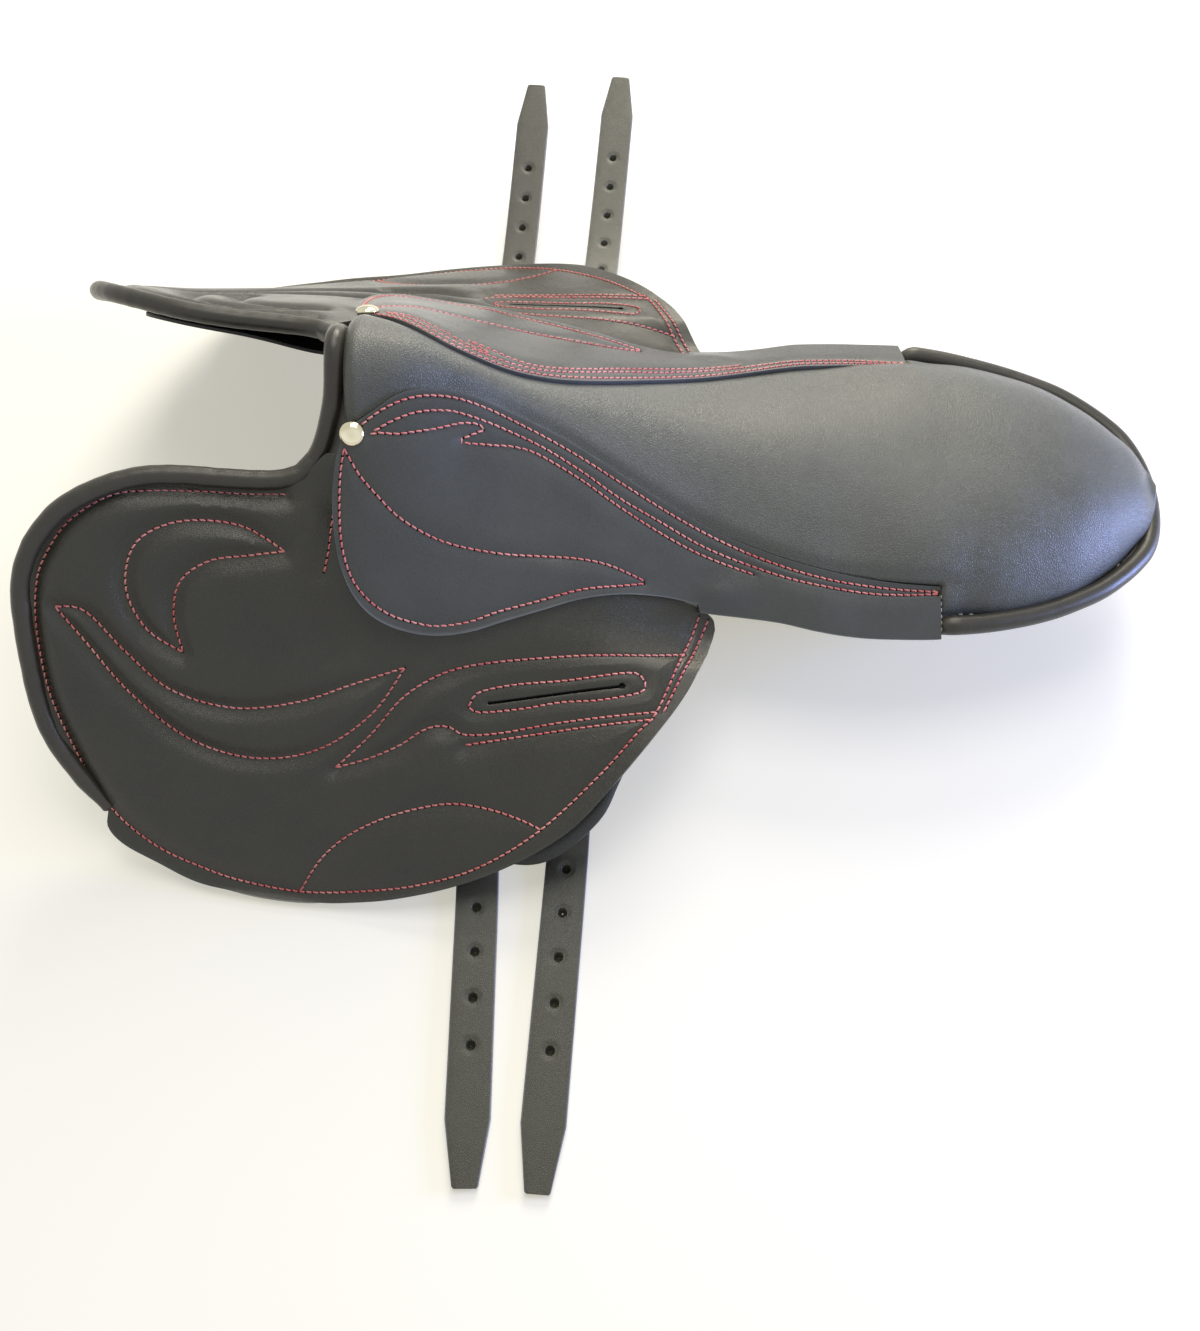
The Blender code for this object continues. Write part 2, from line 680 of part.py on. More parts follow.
def under_flap(x, b):
    """Top of the lining: close under the flap, lower below the knee pad and at the rear edge."""
    pad = (1.0 - ease(-172, -135, x)) * (KNEE_PAD_THICK + 0.8)
    depth = (FLAP_THICK + 0.8 + pad) / normal_of(flap_top, x, b).z
    hang = 3.2 * ease(150, 200, b) * ease(-130, -90, x)
    return flap_top(x, b) - depth - hang


# Girth webs and straps

WEB_END = 111.0
WEBS = {"front": (-108.0, -64.0), "rear": (-48.0, -8.0)}


def web_path(x):
    """Half of a web's line across the saddle: over the tree, down its edge and out to the strap."""
    edge = hinge_side(x) - 8.5
    over = [(b, tree_top(x, b) + 3.0 + WEB_THICK) for b in (0, 4, 9, 16, 24, 33, 42, edge)]
    low = strap_top(x, WEB_END)
    drop = over[-1][1]
    down = [(edge + 3.4, drop - 5), (edge + 4.2, 0.45 * drop + 0.55 * low),
            (edge + 7, low + 3), (edge + 14, low + 0.6), (WEB_END - 12, low), (WEB_END, low)]
    return over + down


def strap_top(x, b):
    """Height of a strap's upper face where it hangs under the flap."""
    return under_flap(x, b) - LINING_THICK - 8.0


def make_girth_webs():
    for name, (x_front, x_rear) in WEBS.items():
        top, bottom = [], []
        for x in (x_front, (x_front + x_rear) / 2, x_rear):
            half = web_path(x)
            line = [Vector((-b, z)) for b, z in reversed(half[1:])]
            line += [Vector(p) for p in half]
            upper, lower = [], []
            for i, p in enumerate(line):
                t = line[min(i + 1, len(line) - 1)] - line[max(i - 1, 0)]
                n = Vector((-t.y, t.x)).normalized()
                q = p - n * WEB_THICK
                upper.append((x, p.x, p.y))
                lower.append((x, q.x, q.y))
            top.append(upper)
            bottom.append(lower)
        two_skins("girth_web_" + name, top, bottom, material("linen_web", WEB_COLOUR, 0.9))


STRAP_ROOT = 113.8
STRAPS = {
    "girth_strap_near_front": (NEAR, -85.0, -82.0, (STRAP_ROOT, 150, 190, 215, 236, 290, 389),
                               (None, 57, 26, 10, 4, 3.8, 3.8)),
    "girth_strap_near_rear": (NEAR, -26.0, -45.0, (STRAP_ROOT, 150, 185, 204, 224, 290, 391),
                              (None, 54, 26, 10, 4, 3.8, 3.8)),
    "girth_strap_far_front": (FAR, -88.0, -66.0, (STRAP_ROOT, 150, 190, 222, 246, 300, 389),
                              (None, 54, 28, 15, 14, 27, 56)),
    "girth_strap_far_rear": (FAR, -25.0, -1.0, (STRAP_ROOT, 150, 190, 212, 240, 300, 390),
                             (None, 58, 38, 30, 28, 38, 62)),
}


def strap_line(x_root, x_tip, reach, heights):
    """Smooth line of a strap's upper face, from its web to its point."""
    first = strap_top(x_root, STRAP_ROOT)
    points = []
    for b, z in zip(reach, heights):
        share = (b - reach[0]) / (reach[-1] - reach[0])
        points.append((x_root + (x_tip - x_root) * share, b, first if z is None else z))
    return spline(points, 30)


def make_straps():
    """Leather girth straps with five round holes and a tapered point."""
    for name, (side, x_root, x_tip, reach, heights) in STRAPS.items():
        line = strap_line(x_root, x_tip, reach, heights)
        total = 0.0
        runs = [0.0]
        for a, c in zip(line[:-1], line[1:]):
            total += (c - a).length
            runs.append(total)
        stops = [s for s in runs if s < total - 40] + [total - 33, total - 16, total]
        top, bottom = [], []
        for s in stops:
            p, t = along(line, runs, s)
            across = Vector((0, 0, 1)).cross(t).normalized()
            n = t.cross(across).normalized()
            left = max(0.0, (s - (total - 33)) / 33)
            half = STRAP_WIDTH / 2 - 5.5 * left
            upper = [p - across * half, p + across * half]
            lower = [q - n * STRAP_THICK for q in upper]
            top.append([(q.x, side * q.y, q.z) for q in upper])
            bottom.append([(q.x, side * q.y, max(q.z, 0.0)) for q in lower])
        strap = two_skins(name, top, bottom, leather("strap", 0.55))
        for k in range(5):
            p, t = along(line, runs, total - 70 - HOLE_PITCH * k)
            across = Vector((0, 0, 1)).cross(t).normalized()
            n = t.cross(across).normalized()
            centre = (p.x, side * p.y, p.z)
            hole = rod_mesh(centre, (n.x, side * n.y, n.z), HOLE_RADIUS, 20.0, 10)
            cut(strap, cutter(name + "_hole_" + str(k + 1), hole))
        set_origin(strap, strap_pivot(name))


def strap_pivot(name):
    """Point on the strap's lower face at its web, about which it swings."""
    side, x_root, *_ = STRAPS[name]
    return x_root, side * (STRAP_ROOT - 2.0), strap_top(x_root, STRAP_ROOT) - 3.6


def along(line, runs, s):
    """Point and direction at a distance along a line."""
    j = 0
    while j < len(runs) - 2 and runs[j + 1] < s:
        j += 1
    t = (s - runs[j]) / (runs[j + 1] - runs[j])
    p = line[j].lerp(line[j + 1], t)
    a = line[max(j - 1, 0)]
    c = line[min(j + 2, len(line) - 1)]
    return p, (c - a).normalized()


# Panels

panel_in = stations((-132, 22), (-80, 20), (0, 22), (100, 24), (230, 24), (280, 20))
panel_out = stations((-132, 44), (-100, 50), (-60, 54), (0, 64), (50, 74), (120, 82), (190, 84),
                     (240, 76), (280, 56))
panel_depth = stations((-132, 34), (-100, 40), (-50, 56), (0, 72), (50, 86), (110, 90), (180, 86),
                       (230, 70), (262, 50), (286, 26))
PANEL_WALL = 2.2


def panel_roof(x, b):
    """Casing's upper edge: up under the tree, lower in front where arms and rivets pass."""
    low = 7.2 * (1.0 - ease(-30, 50, x)) + 2.2 * ease(110, 190, x)
    return tree_top(x, b) - TREE_THICK - 1.8 - low


def panel_rings(shrink):
    """Cross-sections of a stuffed panel: top along the tree, belly rounded, flat where it rests."""
    rings = []
    for x in (-109, -100, -88, -72, -48, -20, 10, 40, 70, 100, 130, 160, 190, 215, 238, 258, 274,
              284):
        low, high = panel_in(x) + shrink, panel_out(x) - shrink
        top, belly = [], []
        for k in range(9):
            v = k / 8
            b = low + (high - low) * v
            roof = panel_roof(x, b)
            top.append((x, b, roof))
        for k in range(9):
            v = 1 - k / 8
            b = low + (high - low) * (0.5 + 0.5 * math.sin(math.pi * (v - 0.5)))
            roof = panel_roof(x, b)
            share = (1 - (2 * (b - low) / (high - low) - 1) ** 2) ** 0.7
            depth = 4 - shrink + (panel_depth(x) - 0.4 * shrink) * share
            belly.append((x, b, max(roof - depth, shrink)))
        rings.append((top, belly))
    return rings


def make_panels():
    """Leather casings open along the tree, and the stuffing that fills each one."""
    for name, side in SIDES.items():
        bm = bmesh.new()
        rows = []
        for top, belly in panel_rings(0.0):
            line = [top[-1]] + belly[0:] + [top[0]]
            line = [line[0]] + belly[1:-1] + [line[-1]]
            rows.append([bm.verts.new(Vector((x, side * b, z)) * MM) for x, b, z in line])
        skin(bm, rows)
        bm.faces.new(rows[0])
        bm.faces.new(rows[-1])
        rest = [f for f in bm.faces if max(v.co.z for v in f.verts) < 1e-9]
        bmesh.ops.dissolve_faces(bm, faces=rest)
        bmesh.ops.recalc_face_normals(bm, faces=bm.faces)
        mesh = bpy.data.meshes.new("panel_" + name)
        bm.to_mesh(mesh)
        bm.free()
        lowest = min(mesh.polygons, key=lambda f: f.center.z)
        if lowest.normal.z > 0:
            mesh.flip_normals()
        mesh.shade_smooth()
        mesh.set_sharp_from_angle(angle=math.radians(40))
        mesh.materials.append(leather("panel", 0.6))
        panel = bpy.data.objects.new("panel_" + name, mesh)
        bpy.context.collection.objects.link(panel)
        wall = panel.modifiers.new("leather_wall", "SOLIDIFY")
        wall.thickness = PANEL_WALL * MM
        wall.offset = -1.0
        top, bottom = [], []
        for roof, belly in panel_rings(PANEL_WALL + 2.0)[1:-1]:
            top.append([(x, side * b, z) for x, b, z in roof[0:]])
            inside = []
            for x, b, z in reversed(belly):
                inside.append((x, side * b, z + 0.8))
            bottom.append(inside)
        two_skins("panel_stuffing_" + name, top, bottom,
                  material("wool_flock", FOAM_COLOUR, 0.95))


# Stirrup bars and rivets

BAR_THICK = 3.0


def make_stirrup_bars():
    """Open-ended steel bar on an arm riveted under the tree's side bar."""
    steel = material("bar_steel", STEEL_COLOUR, 0.3, 1.0)
    for name, side in SIDES.items():
        x_arm, width = -56.0, 12.0
        top, bottom = [], []
        for x in (x_arm - width / 2, x_arm, x_arm + width / 2):
            line = [(b, tree_top(x, b) - TREE_THICK - 1.0) for b in (32, 38, 44, 50, 56)]
            line += [(62, 99.5), (71, 93), (82, 90)]
            top.append([(x, side * b, z) for b, z in line])
            bottom.append([(x, side * b, z - BAR_THICK) for b, z in line])
        arm = two_skins("stirrup_bar_" + name, top, bottom, steel)
        bm = bmesh.new()
        path = [(-62.5, 83, 89), (-40, 84, 86.3), (-18, 85.4, 83.4), (-11, 86, 83),
                (-6.5, 86.5, 83.4)]
        rings = []
        for x, b, z in path:
            half_w, half_h = 2.4, 4.2
            ring = []
            for k in range(10):
                a = 2 * math.pi * k / 10
                ring.append(bm.verts.new(Vector((x, side * (b + half_w * math.cos(a)),
                                                 z + half_h * math.sin(a))) * MM))
            rings.append(ring)
        skin(bm, rings, closed=True)
        bm.faces.new(rings[0])
        bm.faces.new(rings[-1])
        rod = cutter("bar_rod_" + name, bm)
        join = arm.modifiers.new("rod", "BOOLEAN")
        join.operation = "UNION"
        join.object = rod


def rivet(name, at, n, targets, grip):
    """A round-headed rivet with its head on one face and its shank through the plate."""
    head = rod_mesh(Vector(at) + Vector(n) * 0.85, n, 2.6, 1.1, 10)
    shank = rod_mesh(Vector(at) - Vector(n) * (grip / 2 - 0.4), n, 1.25, grip + 0.8, 10)
    obj = add_solid(name, head, material("rivet_steel", STEEL_COLOUR, 0.35, 1.0))
    body = cutter(name + "_shank", shank)
    join = obj.modifiers.new("shank", "BOOLEAN")
    join.operation = "UNION"
    join.object = body
    hole = cutter(name + "_hole", rod_mesh(Vector(at), n, 1.55, 3 * grip, 10))
    for target in targets:
        cut(bpy.data.objects[target], hole)


def make_rivets():
    """Rivets through the two arch plates, and through each stirrup bar's arm."""
    for name, side in SIDES.items():
        for place, x, b in (("high", -125.0, 12.0), ("low", -125.0, 30.0)):
            n = normal_of(tree_top, x, b)
            below = tree_top(x, b) - TREE_THICK - 0.9 - PLATE_THICK - 0.3
            at = Vector((x, side * b, below))
            down = -Vector((n.x, side * n.y, n.z))
            rivet("head_rivet_" + name + "_" + place, at, down,
                  ("gullet_plate", "tree"), 7.0)
        for place, b in (("inner", 38.0), ("outer", 48.0)):
            x = -56.0
            n = normal_of(tree_top, x, b)
            down = -Vector((n.x, side * n.y, n.z))
            at = Vector((x, side * b, tree_top(x, b) - TREE_THICK - 1.0 - BAR_THICK - 0.3))
            rivet("bar_rivet_" + name + "_" + place, at, down, ("stirrup_bar_" + name, "tree"), 7.0)


def build():
    for obj in list(bpy.data.objects):
        bpy.data.objects.remove(obj, do_unlink=True)
    make_tree()
    make_plates()
    make_straining_web()
    make_seat_foam()
    make_seat_cover()
    make_cantle_welt()
    make_skirts()
    make_pommel()
    make_nails()
    make_flaps()
    make_girth_webs()
    make_straps()
    make_panels()
    make_stirrup_bars()
    make_rivets()
    for side in (NEAR, FAR):
        print("flap hinge", hinge_axis(side), "skirt fold", fold_axis(side))
    for name in STRAPS:
        print(name, "hinge", strap_pivot(name))


build()
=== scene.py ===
"""Steeplechase saddle: the pieces as they look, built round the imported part.

Sizes are in millimetres and become metres when a mesh is made. x runs from pommel to cantle,
b is the distance out from the middle of the saddle, z is up. side is -1 near and +1 far.
"""
import math

import bmesh
import bpy
import numpy as np
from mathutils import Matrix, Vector
from mathutils.kdtree import KDTree


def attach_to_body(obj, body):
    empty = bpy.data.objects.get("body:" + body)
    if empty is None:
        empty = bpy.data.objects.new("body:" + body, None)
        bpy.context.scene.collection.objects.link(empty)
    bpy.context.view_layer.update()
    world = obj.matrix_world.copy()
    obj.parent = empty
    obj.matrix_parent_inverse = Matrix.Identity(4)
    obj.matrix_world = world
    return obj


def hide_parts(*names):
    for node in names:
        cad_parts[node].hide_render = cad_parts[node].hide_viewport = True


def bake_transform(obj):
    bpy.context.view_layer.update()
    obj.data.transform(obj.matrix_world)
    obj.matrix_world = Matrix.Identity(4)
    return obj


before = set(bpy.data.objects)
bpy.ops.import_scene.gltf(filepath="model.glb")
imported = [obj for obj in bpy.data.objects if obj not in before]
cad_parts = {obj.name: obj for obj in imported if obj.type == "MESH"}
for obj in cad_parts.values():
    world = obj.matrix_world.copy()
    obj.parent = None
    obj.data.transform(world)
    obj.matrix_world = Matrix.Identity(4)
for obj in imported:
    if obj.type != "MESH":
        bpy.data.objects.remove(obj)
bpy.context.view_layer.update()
MM = 0.001
SIDES = {"near": -1, "far": 1}


# Ground, light and camera
# The saddle lies on white paper, seen from above its near side. Warm light falls from behind it
# and over it, a cool window stands low beside the cantle, and white walls give the sheen.

def colour(code):
    """Linear colour of an sRGB hex value."""
    parts = [int(code[i:i + 2], 16) / 255 for i in (0, 2, 4)]
    return [p / 12.92 if p <= 0.04045 else ((p + 0.055) / 1.055) ** 2.4 for p in parts] + [1.0]


def add(tree, kind, inputs=None, stops=(), **settings):
    """Add a node. Inputs are values, sockets, or nodes whose first output is meant."""
    node = tree.nodes.new(kind if "Node" in kind else "ShaderNode" + kind)
    for key, value in settings.items():
        setattr(node, key, value)
    for i, (place, code) in enumerate(stops):
        node.color_ramp.elements[i].position = place
        node.color_ramp.elements[i].color = colour(code)
    for key, value in (inputs or {}).items():
        if isinstance(value, bpy.types.Node):
            value = value.outputs[0]
        if isinstance(value, bpy.types.NodeSocket):
            tree.links.new(value, node.inputs[key])
        else:
            node.inputs[key].default_value = value
    return node


scene = bpy.context.scene
scene.view_settings.view_transform = "Standard"

lens = bpy.data.cameras.new("camera")
lens.lens = 31.105
lens.clip_start = 0.01
camera = bpy.data.objects.new("camera", lens)
camera.location = (-0.013, -0.415, 0.6441)
camera.rotation_euler = (math.radians(27.04), 0.0, math.radians(0.28))
scene.collection.objects.link(camera)
scene.camera = camera


def lamp(name, place, target, size, power, tint):
    """A soft square lamp that faces a point."""
    light = bpy.data.lights.new(name, "AREA")
    light.size = size
    light.energy = power
    light.color = colour(tint)[:3]
    obj = bpy.data.objects.new(name, light)
    obj.location = place
    obj.rotation_euler = (Vector(target) - Vector(place)).to_track_quat("-Z", "Y").to_euler()
    scene.collection.objects.link(obj)


lamp("ceiling", (0.0, 0.45, 1.75), (0.0, 0.0, 0.1), 1.0, 13.0, "fffaee")
lamp("bay", (0.25, 1.6, 1.15), (0.0, 0.0, 0.1), 0.9, 30.0, "fff6e2")
lamp("window", (1.35, -0.08, 0.32), (0.1, 0.0, 0.1), 0.5, 20.0, "a8baff")

world = bpy.data.worlds.new("daylight")
world.use_nodes = True
scene.world = world
sky = world.node_tree
sky.nodes.clear()


def looked_at(tree):
    """1 where a ray comes from the camera, a mirror or a clear body, and 0 for the light."""
    ray = add(tree, "LightPath")
    mirror = add(tree, "Math", {0: ray.outputs["Is Glossy Ray"],
                                1: ray.outputs["Is Transmission Ray"]}, operation="MAXIMUM")
    return add(tree, "Math", {0: ray.outputs["Is Camera Ray"], 1: mirror}, operation="MAXIMUM")


dim = add(sky, "Background", {"Color": colour("f4f6fb"), "Strength": 0.24})
white = add(sky, "Background", {"Color": (1, 1, 1, 1), "Strength": 1.0})
shared = add(sky, "MixShader", {0: looked_at(sky), 1: dim, 2: white})
add(sky, "OutputWorld", {"Surface": shared})


def material(name):
    """An empty node material and its tree."""
    mat = bpy.data.materials.new(name)
    mat.use_nodes = True
    mat.node_tree.nodes.clear()
    return mat, mat.node_tree


# White paper: matt, its faint grey mottling only keeps it from looking like a void
paper, tree = material("white_paper")
where = add(tree, "TexCoord").outputs["Object"]
fibre = add(tree, "TexNoise", {"Vector": where, "Scale": 6.0, "Detail": 4.0})
tone = add(tree, "MapRange", {"Value": fibre, "To Min": 0.90, "To Max": 0.93})
seen = looked_at(tree)
shade = add(tree, "MapRange", {"Value": seen, "To Min": 1.0, "To Max": 0.72})
plain = add(tree, "Math", {0: tone, 1: shade}, operation="MULTIPLY")
body = add(tree, "BsdfDiffuse", {"Color": plain})
glow = add(tree, "Emission", {"Color": (1.0, 0.97, 0.82, 1.0), "Strength": 0.48})
lit = add(tree, "MixShader", {0: seen, 2: glow})
both = add(tree, "AddShader", {0: body, 1: lit})
add(tree, "OutputMaterial", {"Surface": both})
sheet_mesh = bpy.data.meshes.new("floor")
sheet_mesh.from_pydata([(-9, -9, -0.0003), (9, -9, -0.0003), (9, 9, -0.0003), (-9, 9, -0.0003)],
                       [], [(0, 1, 2, 3)])
sheet_mesh.materials.append(paper)
floor = bpy.data.objects.new("floor", sheet_mesh)
scene.collection.objects.link(floor)


# Tree
# The rigid shell that the saddle is built on, moulded of glass fibre in black resin. Its curves
# give the form of everything above it: the laws below are heights over the plan.

def stations(*pairs):
    """A smooth curve through (position, size) pairs, held at its ends."""
    xs, ys = np.array(pairs, float).T
    slopes = np.gradient(ys, xs)

    def law(x):
        x = np.clip(x, xs[0], xs[-1])
        i = np.clip(np.searchsorted(xs, x) - 1, 0, len(xs) - 2)
        h = xs[i + 1] - xs[i]
        t = (x - xs[i]) / h
        start = (2 * t ** 3 - 3 * t ** 2 + 1) * ys[i] + (t ** 3 - 2 * t ** 2 + t) * h * slopes[i]
        end = (3 * t ** 2 - 2 * t ** 3) * ys[i + 1] + (t ** 3 - t ** 2) * h * slopes[i + 1]
        return start + end

    return law


def ease(low, high, x):
    t = np.clip((x - low) / (high - low), 0.0, 1.0)
    return t * t * (3 - 2 * t)


midline = stations((-150, 191), (-120, 194), (-90, 179), (-60, 160), (-20, 142.5), (40, 124.5),
                   (110, 115.5), (180, 109), (330, 100))
flank = stations((-150, 0.86), (-120, 0.90), (-90, 0.74), (-60, 0.615), (-20, 0.55), (40, 0.69),
                 (110, 0.60), (180, 0.53))
ridge = stations((-150, 30), (-120, 20), (-90, 10), (-60, 11), (-20, 20), (40, 45), (110, 60))
seam_height = stations((120, 78), (177, 76), (235, 74), (288, 70), (319, 67))
pillow_height = stations((120, 115), (180, 110), (235, 107), (270, 101), (295, 91), (308, 82),
                         (318, 71))
seat_outline = stations((41, 80), (64, 85), (110, 90), (154, 92), (190, 93), (212, 92),
                        (235, 86.5), (260, 77), (274, 68), (288, 57), (304, 40))
CANTLE_ROUND, CANTLE_TIP = 304.0, 321.5


def seat_side(x):
    """Half width of the seat's outline, closing in a round at the cantle's tip."""
    tip = 40.0 * np.sqrt(np.clip(CANTLE_TIP - x, 0.0, None) / (CANTLE_TIP - CANTLE_ROUND))
    return np.where(x > CANTLE_ROUND, tip, seat_outline(x))


def saddle_top(x, b):
    r = ridge(x)
    return midline(x) - flank(x) * (np.hypot(b, r) - r)


def crowned(x, b, share):
    """The hull in front and a crowned pillow behind, which meets its seam where share is 1."""
    rise = (1.0 - share ** 2.6) ** (0.58 + 0.22 * ease(120, 260, x))
    pillow = seam_height(x) + (pillow_height(x) - seam_height(x)) * rise
    hull = saddle_top(x, b)
    return hull + (pillow - hull) * ease(110, 185, x)


def seat_top(x, b):
    """Top of the seat, with its sides drawn in to the seat's outline."""
    return crowned(x, b, np.clip(np.abs(b) / np.maximum(seat_side(x), 0.5), 0.0, 1.0))


def xyz(*parts):
    """Points from their coordinates, each one number or a grid of them."""
    return np.stack(np.broadcast_arrays(*parts), -1)


def unit(v):
    """Vectors of length one."""
    return v / np.linalg.norm(v, axis=-1, keepdims=True)


def lie(law, x, b):
    """Outward unit normals of a law of height over the plan."""
    return unit(xyz(law(x - 0.5, b) - law(x + 0.5, b), law(x, b - 0.5) - law(x, b + 0.5), 1.0))


def upright(x, b):
    return lie(saddle_top, x, b)[..., 2]


TREE_DEPTH = 16.0
TREE_THICK = 6.0


def tree_top(x, b):
    return seat_top(x, b) - TREE_DEPTH / upright(x, b)


def finish(tree, **look):
    """Close a material with its surface, given as inputs of the node with _ for a space."""
    surface = add(tree, "BsdfPrincipled", {k.replace("_", " "): v for k, v in look.items()})
    add(tree, "OutputMaterial", {"Surface": surface})


def dress(mat, *nodes):
    """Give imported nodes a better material."""
    for name in nodes:
        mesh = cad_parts[name].data
        mesh.materials.clear()
        mesh.materials.append(mat)


# A pattern's scale counts its cells in a metre: 1000 over their width in millimetres.
# Glass fibre in black resin: semi-gloss, with the print of the chopped strands about 2 mm wide
shell, tree = material("black_glass_fibre_resin")
where = add(tree, "TexCoord").outputs["Object"]
strands = add(tree, "TexVoronoi", {"Vector": where, "Scale": 1000 / 2.2})
cloud = add(tree, "TexNoise", {"Vector": where, "Scale": 1000 / 14, "Detail": 5.0})
tint = add(tree, "ValToRGB", {"Fac": cloud}, ((0.0, "1c1c1b"), (1.0, "343330")))
gloss = add(tree, "MapRange", {"Value": cloud, "To Min": 0.32, "To Max": 0.52})
print_bump = add(tree, "Bump", {"Height": strands, "Strength": 0.5, "Distance": 0.0002})
finish(tree, Base_Color=tint, Roughness=gloss, Normal=print_bump, IOR=1.52)
dress(shell, "tree")


# Head plate, gullet plate and their rivets
# Two steel straps bent over and under the tree's arch, and the soft steel rivets that clamp
# them. The plates are sheared from bar and left as forged.

def steel(name, base, light, rough, grain):
    """Steel whose scratches and stain give it two tones and an uneven shine."""
    mat, tree = material(name)
    where = add(tree, "TexCoord").outputs["Object"]
    stretched = add(tree, "Mapping", {"Vector": where, "Scale": (1.0, 9.0, 1.0)})
    scratch = add(tree, "TexNoise", {"Vector": stretched, "Scale": 1000 / grain, "Detail": 6.0})
    stain = add(tree, "TexNoise", {"Vector": where, "Scale": 1000 / 9, "Detail": 4.0})
    tint = add(tree, "ValToRGB", {"Fac": stain}, ((0.35, base), (0.7, light)))
    shine = add(tree, "MapRange", {"Value": scratch, "To Min": rough - 0.08,
                                   "To Max": rough + 0.1})
    line = add(tree, "Bump", {"Height": scratch, "Strength": 0.35, "Distance": 0.0001})
    finish(tree, Base_Color=tint, Metallic=1.0, Roughness=shine, Normal=line)
    return mat


# Rolled mild steel: dull grey with bluish mill scale, rolled lines about 0.4 mm apart
dress(steel("rolled_mild_steel", "6f7073", "9a9a98", 0.42, 4.0), "head_plate", "gullet_plate")
# Drawn steel rivets: hammered bright, a little smoother than the plates
dress(steel("hammered_steel_rivet", "8d8c88", "b4b3ae", 0.32, 2.0),
      *["head_rivet_%s_%s" % (s, p) for s in SIDES for p in ("high", "low")],
      *["bar_rivet_%s_%s" % (s, p) for s in SIDES for p in ("inner", "outer")])


# Stirrup bars
# A forged steel bar on each side, riveted under the tree by its arm, with an open rear end from
# which the stirrup leather slides off in a fall.

# Drop-forged steel: bright where the leather rubs, darker in the hollows
dress(steel("drop_forged_steel", "77767a", "aeada8", 0.30, 5.0), "stirrup_bar_near",
      "stirrup_bar_far")


# Straining web and girth webs
# Linen webbing: one strap runs over the tree from arch to cantle under the foam, and two wider
# ones cross it and come out on both sides to carry the girth straps.

def spline(points, count):
    """Points spaced evenly along a smooth curve through the given ones."""
    p = np.array(points, float)
    p = np.concatenate((p[:1], p, p[-1:]))
    t = (np.arange(24) / 24)[:, None]
    fine = [0.5 * (2 * p[i] + (p[i + 1] - p[i - 1]) * t
                   + (2 * p[i - 1] - 5 * p[i] + 4 * p[i + 1] - p[i + 2]) * t * t
                   + (3 * p[i] - p[i - 1] - 3 * p[i + 1] + p[i + 2]) * t ** 3)
            for i in range(1, len(p) - 2)]
    fine = np.concatenate(fine + [p[-1:]])
    return even(fine, count)


def even(line, count):
    run = np.concatenate(([0.0], np.cumsum(np.linalg.norm(np.diff(line, axis=0), axis=1))))
    at = np.linspace(0.0, run[-1], count)
    return np.stack([np.interp(at, run, line[:, k]) for k in range(line.shape[1])], -1)


def flipped(points, side):
    """Points of the far half, moved to the side they belong to."""
    return points * np.array((1.0, side, 1.0))


def make_piece(name, points, faces, mat, uv=None, marks=None):
    """A mesh object from points in millimetres; uv and marks hold one value for each point."""
    mesh = bpy.data.meshes.new(name)
    mesh.from_pydata((points * MM).tolist(), [], faces)
    if uv is not None:
        layer = mesh.uv_layers.new(name="cut")
        index = np.empty(len(mesh.loops), int)
        mesh.loops.foreach_get("vertex_index", index)
        layer.data.foreach_set("uv", (uv[index] * MM).ravel())
    for key, values in (marks or {}).items():
        layer = mesh.attributes.new(key, "FLOAT", "POINT")
        layer.data.foreach_set("value", values.astype(np.float32))
    bm = bmesh.new()
    bm.from_mesh(mesh)
    bmesh.ops.remove_doubles(bm, verts=bm.verts, dist=1e-6)
    bmesh.ops.recalc_face_normals(bm, faces=bm.faces)
    bm.to_mesh(mesh)
    bm.free()
    mesh.shade_smooth()
    mesh.materials.append(mat)
    obj = bpy.data.objects.new(name, mesh)
    scene.collection.objects.link(obj)
    return obj


def settle(obj):
    """Turn an object's modifiers into its plain mesh."""
    bpy.context.view_layer.update()
    graph = bpy.context.evaluated_depsgraph_get()
    mesh = bpy.data.meshes.new_from_object(obj.evaluated_get(graph))
    obj.modifiers.clear()
    obj.data = mesh
    mesh.shade_smooth()
    return obj


def round_edges(obj, width, steps=3):
    """Burnish the cut edges of a piece to a round."""
    soft = obj.modifiers.new("burnished_edge", "BEVEL")
    soft.width = width * MM
    soft.segments = steps
    soft.limit_method = "ANGLE"
    soft.angle_limit = math.radians(50)
    return settle(obj)


def arc_lengths(points, axis):
    steps = np.linalg.norm(np.diff(points, axis=axis), axis=-1)
    zero = np.zeros_like(steps.take([0], axis))
    return np.concatenate((zero, np.cumsum(steps, axis)), axis)


def sheet_faces(grid):
    """Quads of a grid of points."""
    quads = np.stack((grid[:-1, :-1], grid[1:, :-1], grid[1:, 1:], grid[:-1, 1:]), -1)
    return quads.reshape(-1, 4)


def tube_faces(grid):
    """Quads between rings of points, each ring closed on itself."""
    return sheet_faces(np.concatenate((grid, grid[:, :1]), 1)).tolist()


